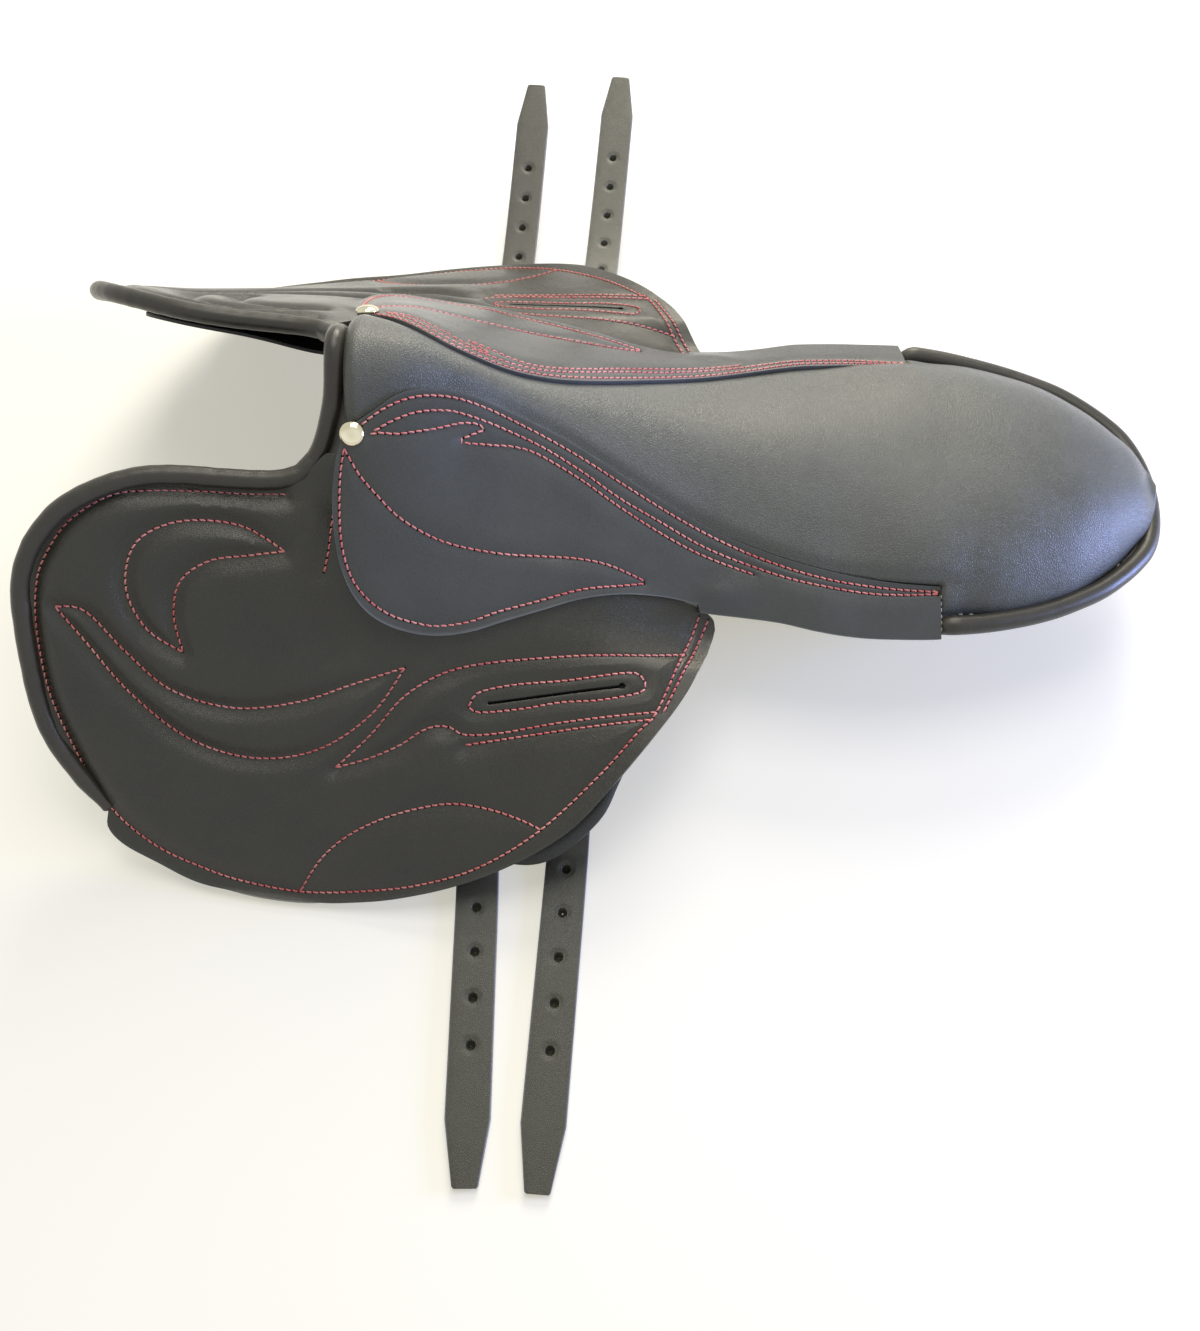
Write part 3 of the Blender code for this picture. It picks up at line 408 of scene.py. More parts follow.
def two_skins(name, top, bottom, mat, marks=None, side=1):
    """A closed piece between an upper and a lower grid of points, made for its side."""
    top, bottom = flipped(top, side), flipped(bottom, side)
    rows, cols = top.shape[:2]
    upper = np.arange(rows * cols).reshape(rows, cols)
    lower = upper + rows * cols
    ring = np.concatenate((upper[0], upper[1:, -1], upper[-1, -2::-1], upper[-2:0:-1, 0]))
    under = ring + rows * cols
    quads = [sheet_faces(g) for g in (upper, lower[:, ::-1])]
    quads.append(np.stack((ring, np.roll(ring, -1), np.roll(under, -1), under), -1))
    uv = np.stack((arc_lengths(top, 0), arc_lengths(top, 1)), -1).reshape(-1, 2)
    marks = {k: np.concatenate((m.ravel(), 0.0 * m.ravel())) for k, m in (marks or {}).items()}
    return make_piece(name, np.concatenate((top.reshape(-1, 3), bottom.reshape(-1, 3))),
                      np.concatenate(quads).tolist(), mat, np.concatenate((uv, uv)), marks)


def attach(obj, body, slot, *nodes, bend=None):
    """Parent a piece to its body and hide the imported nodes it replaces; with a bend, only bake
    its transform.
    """
    if bend:
        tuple(bend[0])
        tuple(bend[1])
        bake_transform(obj)
    else:
        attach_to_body(obj, body)
    if nodes:
        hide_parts(*nodes)


def webbing(name, thread_tone, painted_gap_shade, thread):
    """Plain weave whose threads cross over and under, scaled from the thread's real width; its
    colour darkens into the dips between threads as painted shade.
    """
    mat, tree = material(name)
    cut = add(tree, "UVMap", uv_map="cut")
    turned = add(tree, "Mapping", {"Vector": cut, "Scale": [500 / thread] * 3})
    check = add(tree, "TexChecker", {"Vector": turned, "Scale": 1.0})
    split = add(tree, "SeparateXYZ", {0: turned})
    waves = []
    for axis in ("X", "Y"):
        phase = add(tree, "Math", {0: split.outputs[axis], 1: math.pi}, operation="MULTIPLY")
        wave = add(tree, "Math", {0: phase}, operation="SINE")
        waves.append(add(tree, "Math", {0: wave}, operation="ABSOLUTE"))
    height = add(tree, "Mix", {0: check.outputs["Fac"], 2: waves[0], 3: waves[1]})
    lint = add(tree, "TexNoise", {"Vector": cut, "Scale": 1000 / 6, "Detail": 6.0})
    tone = add(tree, "Math", {0: height, 1: lint}, operation="MULTIPLY")
    # Painted shade: the colour runs dark towards the dips between threads, and also with the lint
    # noise
    tint = add(tree, "ValToRGB", {"Fac": tone}, ((0.0, painted_gap_shade), (0.6, thread_tone)))
    rise = add(tree, "Bump", {"Height": height, "Strength": 0.8, "Distance": 0.0004})
    rough = add(tree, "MapRange", {"Value": lint, "To Min": 0.8, "To Max": 0.97})
    finish(tree, Base_Color=tint, Roughness=rough, Normal=rise)
    return mat


# Unbleached linen web: oatmeal threads about 0.9 mm wide, matt and slightly hairy
linen = webbing("woven_linen_web", "cbbd9c", "6e6248", 0.9)
WEB_THICK = 1.1
FLAP_THICK = 3.5
SKIRT_THICK = 3.0
LINING_THICK = 2.0
KNEE_PAD_THICK = 6.0
FOLD_FRONT, FOLD_REAR = (-146.0, 46.0), (41.0, 88.0)
HINGE_FRONT, HINGE_REAR = (-165.0, 46.5), (46.0, 88.5)
NOTCH = 41.0


def on_line(a, c, x):
    return a[1] + (c[1] - a[1]) * (x - a[0]) / (c[0] - a[0])


flap_height = stations((-310, 109), (-240, 99.3), (-180, 93.7), (-120, 88.6), (-60, 86.4), (0, 84),
                       (46, 75))
flap_slope = stations((-310, 1.08), (-240, 0.893), (-180, 0.788), (-120, 0.665), (-60, 0.546),
                      (0, 0.384), (46, 0.13))


def flap_top(x, b):
    """Top of the flap: steep in front, flat behind, pushed out by the tree's point."""
    bulge = 8.0 * np.exp(-0.5 * (((x + 135.0) / 45.0) ** 2 + ((b - 85.0) / 32.0) ** 2))
    out = b - 120.0
    z = flap_height(x) - flap_slope(x) * out + 2.4 * (out / 100.0) ** 2 + bulge
    roof = saddle_top(x, b) - 1.25 * (SKIRT_THICK + 1.0)
    held = (x > -60.0) & (z > roof)
    z = np.where(held, z - (z - roof) * (1.0 - ease(96, 130, b)), z)
    low = FLAP_THICK + 0.6
    return 0.5 * (z + low + np.hypot(z - low, 1.0))


def under_flap(x, b):
    """Top of the lining: close under the flap, lower below the knee pad and at the rear edge."""
    pad = (1.0 - ease(-172, -135, x)) * (KNEE_PAD_THICK + 0.8)
    depth = (FLAP_THICK + 0.8 + pad) / lie(flap_top, x, b)[..., 2]
    return flap_top(x, b) - depth - 3.2 * ease(150, 200, b) * ease(-130, -90, x)


STRAP_ROOM = 8.0


def strap_top(x, b):
    return under_flap(x, b) - LINING_THICK - STRAP_ROOM


x = np.linspace(-106.0, 268.0, 90)[:, None]
across = np.linspace(-1.0, 1.0, 13)[None, :] * (6 + 20 * ease(-80, 60, x))
low = xyz(x, across, tree_top(x, np.abs(across)) + 0.9)
web = two_skins("straining_web_linen", low + (0, 0, WEB_THICK), low, linen)
attach(round_edges(web, 0.3, 2), "saddle", "linen_web", "straining_web")

WEB_END = 111.0
for name, x_front, x_rear in (("front", -108.0, -64.0), ("rear", -48.0, -8.0)):
    lines = []
    for x in np.linspace(x_front, x_rear, 15):
        edge = on_line(HINGE_FRONT, HINGE_REAR, x) - 8.5
        over = [(b, tree_top(x, b) + 3.0 + WEB_THICK) for b in (0, 4, 9, 16, 24, 33, 42, edge)]
        low, drop = float(strap_top(x, WEB_END)), over[-1][1]
        half = over + [(edge + 3.4, drop - 5), (edge + 4.2, 0.45 * drop + 0.55 * low),
                       (edge + 7, low + 3), (edge + 14, low + 0.6), (WEB_END - 12, low),
                       (WEB_END, low)]
        whole = np.array([(-b, z) for b, z in half[:0:-1]] + half, float)
        lines.append(even(whole, 120))
    line = np.array(lines)
    run = np.gradient(line, axis=1)
    out = unit(xyz(-run[..., 1], run[..., 0]))
    station = np.linspace(x_front, x_rear, 15)[:, None]
    skins = [xyz(station, q[..., 0], q[..., 1]) for q in (line, line - out * WEB_THICK)]
    web = two_skins("girth_web_%s_linen" % name, skins[0], skins[1], linen)
    attach(round_edges(web, 0.3, 2), "saddle", "linen_web", "girth_web_" + name)


# Panels
# Two long cushions under the tree that rest on the back: thin soft leather casings, stuffed
# hard with wool flock, rounded at their ends and flat where the saddle's weight lies.

def leather(name, dark, light, grain, depth, rough, edge="3a3a38", sheen=0.0, fold=0.0):
    """Dressed leather: pebbled grain, mottling, pores, seams darker from pressing and painted
    shade, edges burnished with a painted highlight.
    """
    mat, tree = material(name)
    where = add(tree, "TexCoord").outputs["Object"]
    drift, pores, mottle = [
        add(tree, "TexNoise", {"Vector": where, "Scale": 1000 / width, "Detail": detail,
                               "Roughness": harsh})
        for width, detail, harsh in ((grain * 3, 2.0, 0.5), (grain * 0.35, 4.0, 0.6),
                                     (34, 5.0, 0.55))]
    shift = add(tree, "VectorMath", {0: drift.outputs["Color"], 1: (grain * 0.0009,) * 3},
                operation="MULTIPLY")
    warped = add(tree, "VectorMath", {0: where, 1: shift})
    cells = add(tree, "TexVoronoi", {"Vector": warped, "Scale": 1000 / grain},
                feature="DISTANCE_TO_EDGE")
    pebble = add(tree, "MapRange", {"Value": cells, "From Max": 0.28},
                 interpolation_type="SMOOTHSTEP")
    relief = add(tree, "Math", {0: pebble, 1: 0.6, 2: pores}, operation="MULTIPLY_ADD")
    cloud = add(tree, "Math", {0: mottle, 1: 0.4}, operation="MULTIPLY")
    tone = add(tree, "Math", {0: relief, 1: 0.5, 2: cloud}, operation="MULTIPLY_ADD")
    tint = add(tree, "ValToRGB", {"Fac": tone}, ((0.2, dark), (0.98, light)))
    # Painted shade: near the seams the colour darkens to 55 percent, for pressed leather and for
    # the shade in the seam's groove
    sewn = add(tree, "Attribute", attribute_name="sewn")
    seam_shade = add(tree, "MapRange", {"Value": sewn.outputs["Fac"], "To Min": 1.0, "To Max": 0.55})
    shaded = add(tree, "Mix", {0: 1.0, 6: tint, 7: seam_shade}, data_type="RGBA", blend_type="MULTIPLY")
    # Edge colour, mixed in unevenly along the cut edges: burnish and a painted highlight
    rim = add(tree, "Attribute", attribute_name="rim")
    burnish_and_highlight = add(tree, "Math", {0: rim.outputs["Fac"], 1: mottle}, operation="MULTIPLY")
    skin = add(tree, "Mix", {0: burnish_and_highlight, 6: shaded.outputs[2], 7: colour(edge)}, data_type="RGBA")
    uneven = add(tree, "MapRange", {"Value": mottle, "From Min": 0.3, "From Max": 0.7,
                                    "To Min": rough - 0.07, "To Max": rough + 0.07})
    matt = add(tree, "Math", {0: relief, 1: -0.10, 2: uneven}, operation="MULTIPLY_ADD")
    slack = add(tree, "Bump", {"Height": mottle, "Strength": 0.35 + fold, "Distance": 0.0012})
    grained = add(tree, "Bump", {"Height": relief, "Strength": 0.75, "Distance": depth * MM,
                                 "Normal": slack})
    finish(tree, Base_Color=skin.outputs[2], Roughness=matt, IOR=1.48, Sheen_Weight=sheen,
           Sheen_Roughness=0.4, Normal=grained)
    return mat


# Soft panel hide: thin, supple and matt, with a round grain about 1.4 mm across
panel_hide = leather("soft_panel_hide", "1d1d1c", "383734", 1.4, 0.16, 0.62, fold=0.3)

panel_in = stations((-132, 22), (-80, 20), (0, 22), (100, 24), (230, 24), (280, 20))
panel_out = stations((-132, 44), (-100, 50), (-60, 54), (0, 64), (50, 74), (120, 82), (190, 84),
                     (240, 76), (280, 56))
panel_depth = stations((-132, 34), (-100, 40), (-50, 56), (0, 72), (50, 86), (110, 90), (180, 86),
                       (230, 70), (262, 50), (286, 26))
PANEL_FRONT, FRONT_ROUND = -94.8, 14.0
PANEL_REAR, REAR_ROUND = 270.0, 13.8
turn = np.linspace(0, np.pi / 2, 9)
x = np.concatenate((PANEL_FRONT - FRONT_ROUND + FRONT_ROUND * (1 - np.cos(turn[:-1])),
                    np.linspace(PANEL_FRONT, PANEL_REAR, 90),
                    PANEL_REAR + REAR_ROUND * np.sin(turn[1:])))
pull = np.minimum(*[np.sqrt(np.clip(1 - (past.clip(0) / length) ** 2, 0.02, 1)) for past, length
                    in ((PANEL_FRONT - x, FRONT_ROUND), (x - PANEL_REAR, REAR_ROUND))])[:, None]
around = np.linspace(0, 1, 41)[None, :]
inner, outer = panel_in(x)[:, None], panel_out(x)[:, None]
middle, half = (inner + outer) / 2, (outer - inner) / 2 * pull
b = middle - half * np.cos(np.pi * around)
belly = inner + 0.36 * (outer - inner)
off = np.where(b < belly, (belly - b) / (belly - inner), (b - belly) / (outer - belly))
xs = x[:, None]
low = 7.2 * (1.0 - ease(-30, 50, xs)) + 2.2 * ease(110, 190, xs)
PANEL_ROOM = 1.8
roof = tree_top(xs, b) - TREE_THICK - PANEL_ROOM - low
share = (1 - np.clip(off, 0, 1) ** 1.3) ** 1.1
depth = (4 + panel_depth(xs) * share) * pull
floor_at = np.maximum(roof - depth, 0.0)
floor_at = np.where(floor_at < 6.0, 0.5 * (floor_at + np.hypot(floor_at, 1.2) - 1.2), floor_at)
roof = roof - (1 - pull) * 6.0
for name, side in SIDES.items():
    panel = two_skins("panel_%s_casing" % name, xyz(xs, b, roof),
                      xyz(xs, b, np.minimum(floor_at, roof - 1.0)), panel_hide, side=side)
    panel.modifiers.new("supple", "SUBSURF")
    settle(panel)
    attach(panel, "saddle", "lining_leather", "panel_" + name, "panel_stuffing_" + name)


# Girth straps
# Four straps cut 24 mm wide from thick bridle leather, sewn to the webs under the flaps, each
# punched with five round holes an inch apart and trimmed to a point.

# Bridle leather: waxed and olive black, with a fine 1 mm grain and a painted pale blue highlight
# on its edges
bridle = leather("waxed_bridle_leather", "2a2a21", "4e4e40", 1.0, 0.12, 0.42, edge="a9aec4",
                 sheen=0.05)
STRAP_WIDTH = 24.0
STRAP_THICK = 3.8
STRAP_ROOT = 113.8
HOLE_RADIUS = 2.8
HOLE_PITCH = 25.0
FIRST_HOLE = 70.0
TAPER = 33.0
TONGUE_HALF = 11.0
TONGUE_BEND = (109.5, 115.0)
STRAPS = {"near_front": (-85.0, -82.0, (STRAP_ROOT, 150, 190, 215, 236, 290, 386.5),
                         (0, 57, 26, 10, 4, 3.8, 3.8)),
          "near_rear": (-26.0, -45.0, (STRAP_ROOT, 150, 185, 204, 224, 290, 389),
                        (0, 54, 26, 10, 4, 3.8, 3.8)),
          "far_front": (-88.0, -66.0, (STRAP_ROOT, 150, 190, 222, 246, 300, 389),
                        (0, 54, 28, 15, 14, 27, 56)),
          "far_rear": (-25.0, -1.0, (STRAP_ROOT, 150, 190, 212, 240, 300, 390),
                       (0, 58, 38, 30, 28, 38, 62))}


def strap_half_width(s, total):
    """Half width of a strap at a distance along it: straight, then drawn in to a blunt point."""
    t = np.clip((s - (total - TAPER)) / TAPER, 0.0, 1.0)
    nose = np.sqrt(np.clip((total + 0.05 - s) / 1.2, 0.0, 1.0))
    return (STRAP_WIDTH / 2 - 5.4 * t) * (0.82 + 0.18 * nose)


def turned(profile, count):
    """Rings of points, from pairs of radius and height."""
    turn = np.linspace(0, 2 * np.pi, count, endpoint=False)
    return np.array([xyz(r * np.cos(turn), r * np.sin(turn), h) for r, h in profile])


def stand(points, up, centre):
    """Turned points moved to a place and tilted with it."""
    tilt = np.array(Vector((0, 0, 1)).rotation_difference(Vector(up)).to_matrix())
    return points @ tilt.T + centre


def punch(spots):
    """One mesh of round punches, each at (centre, up): its foot is all but closed, so the strap's
    dark leather stands in for the shade in the hole.
    """
    rings = turned(((HOLE_RADIUS + 0.5, 2.0), (HOLE_RADIUS, 0.0), (HOLE_RADIUS - 0.4, -2.9),
                    (0.1, -3.5), (0.1, -STRAP_THICK - 0.6)), 32)
    points, faces = [], []
    for i, (centre, up) in enumerate(spots):
        points.append(stand(rings.reshape(-1, 3), up, centre))
        grid = np.arange(rings.size // 3).reshape(rings.shape[:2]) + i * rings.size // 3
        faces += tube_faces(grid) + [grid[0].tolist(), grid[-1, ::-1].tolist()]
    return make_piece("strap_punch", np.concatenate(points), faces, bridle)


def cut_out(obj, tool):
    """Cut a tool's shape out of a piece."""
    cut = obj.modifiers.new("cut", "BOOLEAN")
    cut.operation = "DIFFERENCE"
    cut.object = tool
    settle(obj)
    bpy.data.objects.remove(tool)


for place, (x_root, x_tip, reach, heights) in STRAPS.items():
    name, side = "girth_strap_" + place, SIDES[place.split("_")[0]]
    first = float(strap_top(x_root, STRAP_ROOT))
    way = [(x_root + (x_tip - x_root) * (b - reach[0]) / (reach[-1] - reach[0]), b,
            z or first) for b, z in zip(reach, heights)]
    line = spline(way, 360)
    run = arc_lengths(line, 0)
    total = run[-1]
    cuts = np.concatenate((np.linspace(0, total - 1.2, 330), np.linspace(total - 1.0, total, 6)))
    p, ahead = [np.stack([np.interp(cuts, run, q[:, k]) for k in range(3)], -1)[:, None]
                for q in (line, np.gradient(line, axis=0))]
    ahead = unit(ahead)
    out = unit(np.cross((0.0, 0.0, 1.0), ahead))
    up = np.cross(ahead, out)
    t = np.linspace(-1.0, 1.0, 27)[None, :]
    reach_out = t * strap_half_width(cuts, total)[:, None]
    holes = [total - FIRST_HOLE - HOLE_PITCH * k for k in range(5)]
    gap = np.min([np.hypot(cuts[:, None] - h, reach_out) for h in holes], axis=0)
    crown = 0.3 * (1 - t ** 4) - 0.5 * np.exp(-((gap - 3.0) / 1.4) ** 2)
    upper = p + out * reach_out[..., None] + up * crown[..., None]
    lower = p + out * reach_out[..., None] - up * STRAP_THICK
    lower[..., 2] = np.maximum(lower[..., 2], 0.05)
    # Both cut edges take the pale blue edge colour, a painted highlight
    rim = np.zeros_like(crown)
    rim[:, 0] = rim[:, -1] = 1.0
    strap = two_skins(name + "_leather", upper, lower, bridle, {"rim": rim}, side)
    round_edges(strap, 0.5, 2)
    spots = [[np.interp(h, cuts, q[:, 0, k]) for k in range(3)] for q in (p, up) for h in holes]
    spots = flipped(np.array(spots), side)
    cut_out(strap, punch(list(zip(spots[:5], spots[5:]))))
    attach(strap, name, "strap_leather", name)

    # The web's tongue: sewn on over the strap's root, it bends where the strap swings
    t = np.linspace(-1.0, 1.0, 9)[None, :] * TONGUE_HALF
    here = x_root + t
    rows = [xyz(here, b, strap_top(here, WEB_END) + 0.05) for b in (96.0, 101.0, 106.0, 110.0)]
    pick = np.searchsorted(cuts, (1.5, 3.0, 5.0, 7.0, 9.0, 11.0, 13.0, 15.0))
    face = np.concatenate(rows + [p[pick] - out[pick] * t[..., None] + up[pick] * 0.45])
    lift = np.concatenate((np.tile((0.0, 0.0, 1.0), (4, 1, 1)), up[pick]))
    tongue = two_skins("girth_tongue_%s_linen" % place, face + lift * WEB_THICK, face, linen,
                       side=side)
    attach(tongue, name, "linen_web",
           bend=[(x_root * MM, side * b * MM, first * MM) for b in TONGUE_BEND])


# Knee pads
# A shaped block of firm foam in front of each knee, glued between the flap and its lining.

def foam_rubber(name, deep, light, cell):
    """Foam: matt, with pits as wide as its real cells and a slow change of colour with age."""
    mat, tree = material(name)
    where = add(tree, "TexCoord").outputs["Object"]
    cells = add(tree, "TexVoronoi", {"Vector": where, "Scale": 1000 / cell})
    age = add(tree, "TexNoise", {"Vector": where, "Scale": 1000 / 30, "Detail": 4.0})
    tint = add(tree, "ValToRGB", {"Fac": age}, ((0.0, deep), (1.0, light)))
    pit = add(tree, "Bump", {"Height": cells, "Strength": 0.6, "Distance": 0.0005 * cell})
    dry = add(tree, "MapRange", {"Value": age, "To Min": 0.85, "To Max": 0.98})
    finish(tree, Base_Color=tint, Roughness=dry, Normal=pit)
    return mat


# Closed-cell foam: charcoal, matt and dense, so that it reads as a shadow under the front roll
cell_foam = foam_rubber("charcoal_cell_foam", "1f1f1e", "302f2d", 0.5)


def between(inner, outer, across):
    """Plan positions ruled from one edge to another."""
    t = np.linspace(0.0, 1.0, across + 1)[None, :, None]
    grid = inner[:, None, :] * (1 - t) + outer[:, None, :] * t
    return grid[..., 0], grid[..., 1]


def over(law, x, b, height):
    """Points over a law of height, measured square to its surface."""
    return xyz(x, b, law(x, b)) + lie(law, x, b) * np.asarray(height)[..., None]


PAD_IN = [(-294, 116), (-280, 95), (-255, 82), (-215, 77), (-178, 80)]
PAD_OUT = [(-296, 132), (-288, 158), (-262, 180), (-222, 188), (-176, 176)]
x, b = between(spline(PAD_IN, 70), spline(PAD_OUT, 70), 40)
u = np.linspace(-1, 1, 70)[:, None]
v = np.linspace(-1, 1, 41)[None, :]
crown = np.clip((1 - u ** 6) * (1 - v ** 6), 0, 1) ** 0.6
top = over(flap_top, x, b, -FLAP_THICK - 0.3)
bottom = top - lie(flap_top, x, b) * (0.4 + (KNEE_PAD_THICK - 0.4) * crown)[..., None]
for name, side in SIDES.items():
    pad = two_skins("knee_pad_%s_foam" % name, top, bottom, cell_foam, side=side)
    round_edges(pad, 0.15, 1)
    attach(pad, "flap_" + name, "foam", "knee_pad_" + name)


# Flap linings
# A thin soft lining under each flap, padded at its rear edge, where it lies against the horse
# and shows below the flap.

# Lining leather: matt and dark, with a fine grain about 0.9 mm across
lining_hide = leather("soft_lining_leather", "1b1c1b", "373835", 0.9, 0.12, 0.6, edge="4a4c4e",
                      fold=0.2)
LINING_IN = [(-303, 116), (-290, 93), (-262, 76), (-225, 68), (-185, 66), (-150, 61), (-100, 64),
             (-60, 72), (0, 83), (28, 91)]
LINING_OUT = [(-306, 130), (-300, 156), (-282, 178), (-250, 196), (-205, 203), (-160, 205),
              (-115, 211), (-85, 216), (-62, 223), (-45, 223), (-30, 216), (-13, 202), (-3, 184),
              (10, 160), (24, 132), (31, 108)]
x, b = between(spline(LINING_IN, 150), spline(LINING_OUT, 150), 60)
from_edge = arc_lengths(xyz(x, b)[:, ::-1], 1)[:, ::-1]
swell = 2.0 * np.clip(1 - ((from_edge - 6.0) / 6.0) ** 2, 0, 1) ** 0.5
swell = swell * ease(150, 190, b) * ease(-125, -90, x)
top, bottom = over(under_flap, x, b, swell), over(under_flap, x, b, -LINING_THICK)
sag = 13.0 * np.exp(-((x + 180) / 32) ** 2) * (1 - ease(60, 100, b)) * (1 - ease(-160, -148, x))
top[..., 2] -= sag
bottom[..., 2] -= sag
for name, side in SIDES.items():
    lining = two_skins("flap_lining_%s_leather" % name, top, bottom, lining_hide, side=side)
    round_edges(lining, 0.8, 3)
    attach(lining, "flap_" + name, "lining_leather", "flap_lining_" + name)


# Flaps
# Forward-cut flaps of heavy hide that lift to reach the girth. Each is backed, quilted with red
# thread in rows that sink into it, and slit for the stirrup leather.

# Flap hide: near black with an olive cast, semi-matt, tight pebbles about 0.9 mm across
flap_hide = leather("oiled_flap_hide", "1b1b14", "3f3e32", 0.9, 0.11, 0.31, edge="4b4c49",
                    sheen=0.03)
ROLL_PATH = [(-165, 43.9), (-169, 47.8), (-173.5, 51.2), (-182, 53.8), (-193, 55), (-213, 55.5),
             (-233, 56), (-252, 58.5), (-272, 65), (-292, 75), (-306, 86.5), (-315, 97),
             (-319.5, 107), (-321, 119), (-321.2, 134), (-320, 150), (-315.5, 164), (-306, 177),
             (-291, 193.5)]
LOWER_EDGE = [(-291.5, 200.5), (-283.5, 209), (-264.4, 218.3), (-241.8, 228), (-213, 235.3),
              (-184, 239.2), (-155, 240), (-126, 239), (-92, 234), (-58, 224), (-30, 210),
              (-9, 191), (14, 166), (32.5, 142), (44, 119), (49, 106.5)]
ROLL_RADIUS = 5.3


def inset(points, distance):
    """Move plan points square to their path along the flap, to the inside."""
    p = np.array(points, float)
    n = lie(flap_top, p[:, 0], p[:, 1])
    ends = np.concatenate((p[:1], p, p[-1:]))
    run = ends[2:] - ends[:-2]
    rise = flap_top(ends[2:, 0], ends[2:, 1]) - flap_top(ends[:-2, 0], ends[:-2, 1])
    run = np.concatenate((run, rise[:, None]), 1)
    return p + unit(np.cross(run, n))[:, :2] * distance


beside = inset(spline(ROLL_PATH, 30), ROLL_RADIUS - 2.0)
upper_rail = [tuple(q) for q in beside[19:1:-1]]
upper_rail += [(-160, 45.6), (-154, 45.2), (-147, 46.6), (-138, 50.0)]
upper_rail += [(q, on_line(HINGE_FRONT, HINGE_REAR, q)) for q in (-120, -60, 0, 24)]
upper_rail += [(33, 88.5), (39, 90), (45, 92.5), (49.5, 96), (50.5, 101)]
lower_rail = [tuple(q) for q in beside[20:]] + LOWER_EDGE

SEAMS_DEEP = [[(-182, 84), (-205, 74), (-235, 74), (-258, 84), (-266, 102), (-258, 118),
               (-240, 127)],
              [(-182, 84), (-200, 86), (-222, 89), (-238, 98), (-243, 112), (-240, 127)],
              [(-303, 112), (-288, 113), (-270, 128), (-248, 143), (-215, 150), (-180, 147),
               (-150, 139), (-121, 131)],
              [(-303, 112), (-290, 125), (-270, 145), (-240, 164), (-205, 172), (-170, 168),
               (-140, 152), (-121, 131)]]
SEAM_ROLL = [(-294, 188), (-302.5, 174), (-312, 152.5), (-315, 137), (-314.5, 117.5),
             (-310, 102.5), (-301.5, 90.5), (-288.5, 78.5), (-268, 67.5), (-248.5, 63.5),
             (-223.5, 61.5), (-198.5, 61), (-180, 60)]
SEAMS_FLAT = [[(-294, 188), (-282, 200), (-263.5, 212), (-241, 221), (-218, 228), (-183.5, 234),
               (-149, 235), (-114, 233), (-80, 225.5), (-46.5, 209), (-14, 183), (7.5, 161),
               (17, 151), (31.5, 118.5), (39, 101), (41.5, 94.5)],
              [(20.5, 151.5), (35.5, 121), (43.5, 103), (46.5, 96)],
              [(-183.5, 234), (-171.5, 219.5), (-156.5, 209), (-136.5, 201), (-114, 196),
               (-94.5, 194.5), (-74.5, 198), (-58, 203.5), (-46.5, 209)],
              [(-86.5, 148.5), (-83.5, 143.5), (-77, 140.5), (-58.5, 137.5), (-31, 135.5),
               (-0.5, 131.5), (7.5, 132.5), (10.5, 138), (5.5, 142), (-14.5, 145.5), (-36, 146.5),
               (-58, 149.5), (-80, 151), (-86.5, 148.5)],
              [(-161, 176.5), (-141, 161.5), (-124, 145.5), (-107.5, 136), (-91, 130.5),
               (-69, 127), (-36.5, 124), (7.5, 121), (33.5, 117)],
              [(-161, 176.5), (-141.5, 172), (-124.5, 166), (-113.5, 160), (-105, 157.5),
               (-97, 158), (-88.5, 161.5), (-69, 161), (-36, 156.5), (17, 151.5)],
              [(-88.5, 166.5), (-36, 160.5), (13.5, 155.5)],
              [(-156, 66), (-157.5, 74), (-159, 82.5), (-162, 92.5)]]
SLOT = [(-76.5, 146.5), (-1.5, 138)]


def trace(points, law):
    """A seam's points every 0.4 mm on a law of height."""
    plan = spline(points, 200)
    p = np.concatenate((plan, law(plan[:, 0], plan[:, 1])[:, None]), 1)
    length = np.linalg.norm(np.diff(p, axis=0), axis=1).sum()
    return even(p, max(8, int(length / 0.4)))


def from_seams(points, seams):
    """Distance of every point from the nearest seam."""
    spots = np.concatenate(seams)
    finder = KDTree(len(spots))
    for i, p in enumerate(spots):
        finder.insert(p, i)
    finder.balance()
    d = np.array([finder.find(p)[2] for p in points.reshape(-1, 3)])
    return d.reshape(points.shape[:-1])


def quilted(d, puff, reach):
    """Leather stuffed to a height between seams that hold it down, and cut by their thread."""
    return puff * (1 - np.exp(-(d / reach) ** 2)) - 0.4 * np.exp(-(d / 1.2) ** 2)


rows, across = 270, 150
x, b = between(spline(upper_rail, rows), spline(lower_rail, rows), across)
n = lie(flap_top, x, b)
face = xyz(x, b, flap_top(x, b))
beyond = b - on_line(HINGE_FRONT, HINGE_REAR, x)
root = (1 - ease(0, 15, beyond)) * ease(-172, -152, x) * (1 - ease(-120, -90, x))
face[..., 2] += 10.0 * root
flap_seams = [trace(q, flap_top) for q in SEAMS_DEEP + SEAMS_FLAT]
roll_seam = trace(SEAM_ROLL, flap_top)
d = from_seams(face, flap_seams + [roll_seam, trace(SLOT, flap_top)])
knee = np.maximum(1 - ease(-192, -150, x), ease(124, 142, b) * (1 - ease(-125, -60, x)))
low_half = ease(175, 200, b)
puff = 0.9 + 3.7 * knee * (1 - 0.6 * low_half)
sunk = np.exp(-(from_seams(face, [roll_seam]) / 2.6) ** 2)
flap_points = face + n * (quilted(d, puff, 7.0) - 1.1 * sunk)[..., None]
flap_under = face - n * FLAP_THICK
# Nearness to a seam: the leather darkens there, partly pressed leather, partly painted shade in
# the groove
sewn = np.exp(-(d / 1.0) ** 2)
# The last two rows along the flap's edge take the edge colour: burnish with a painted highlight
rim = np.zeros_like(x)
rim[:, -2:] = (0.5, 1.0)
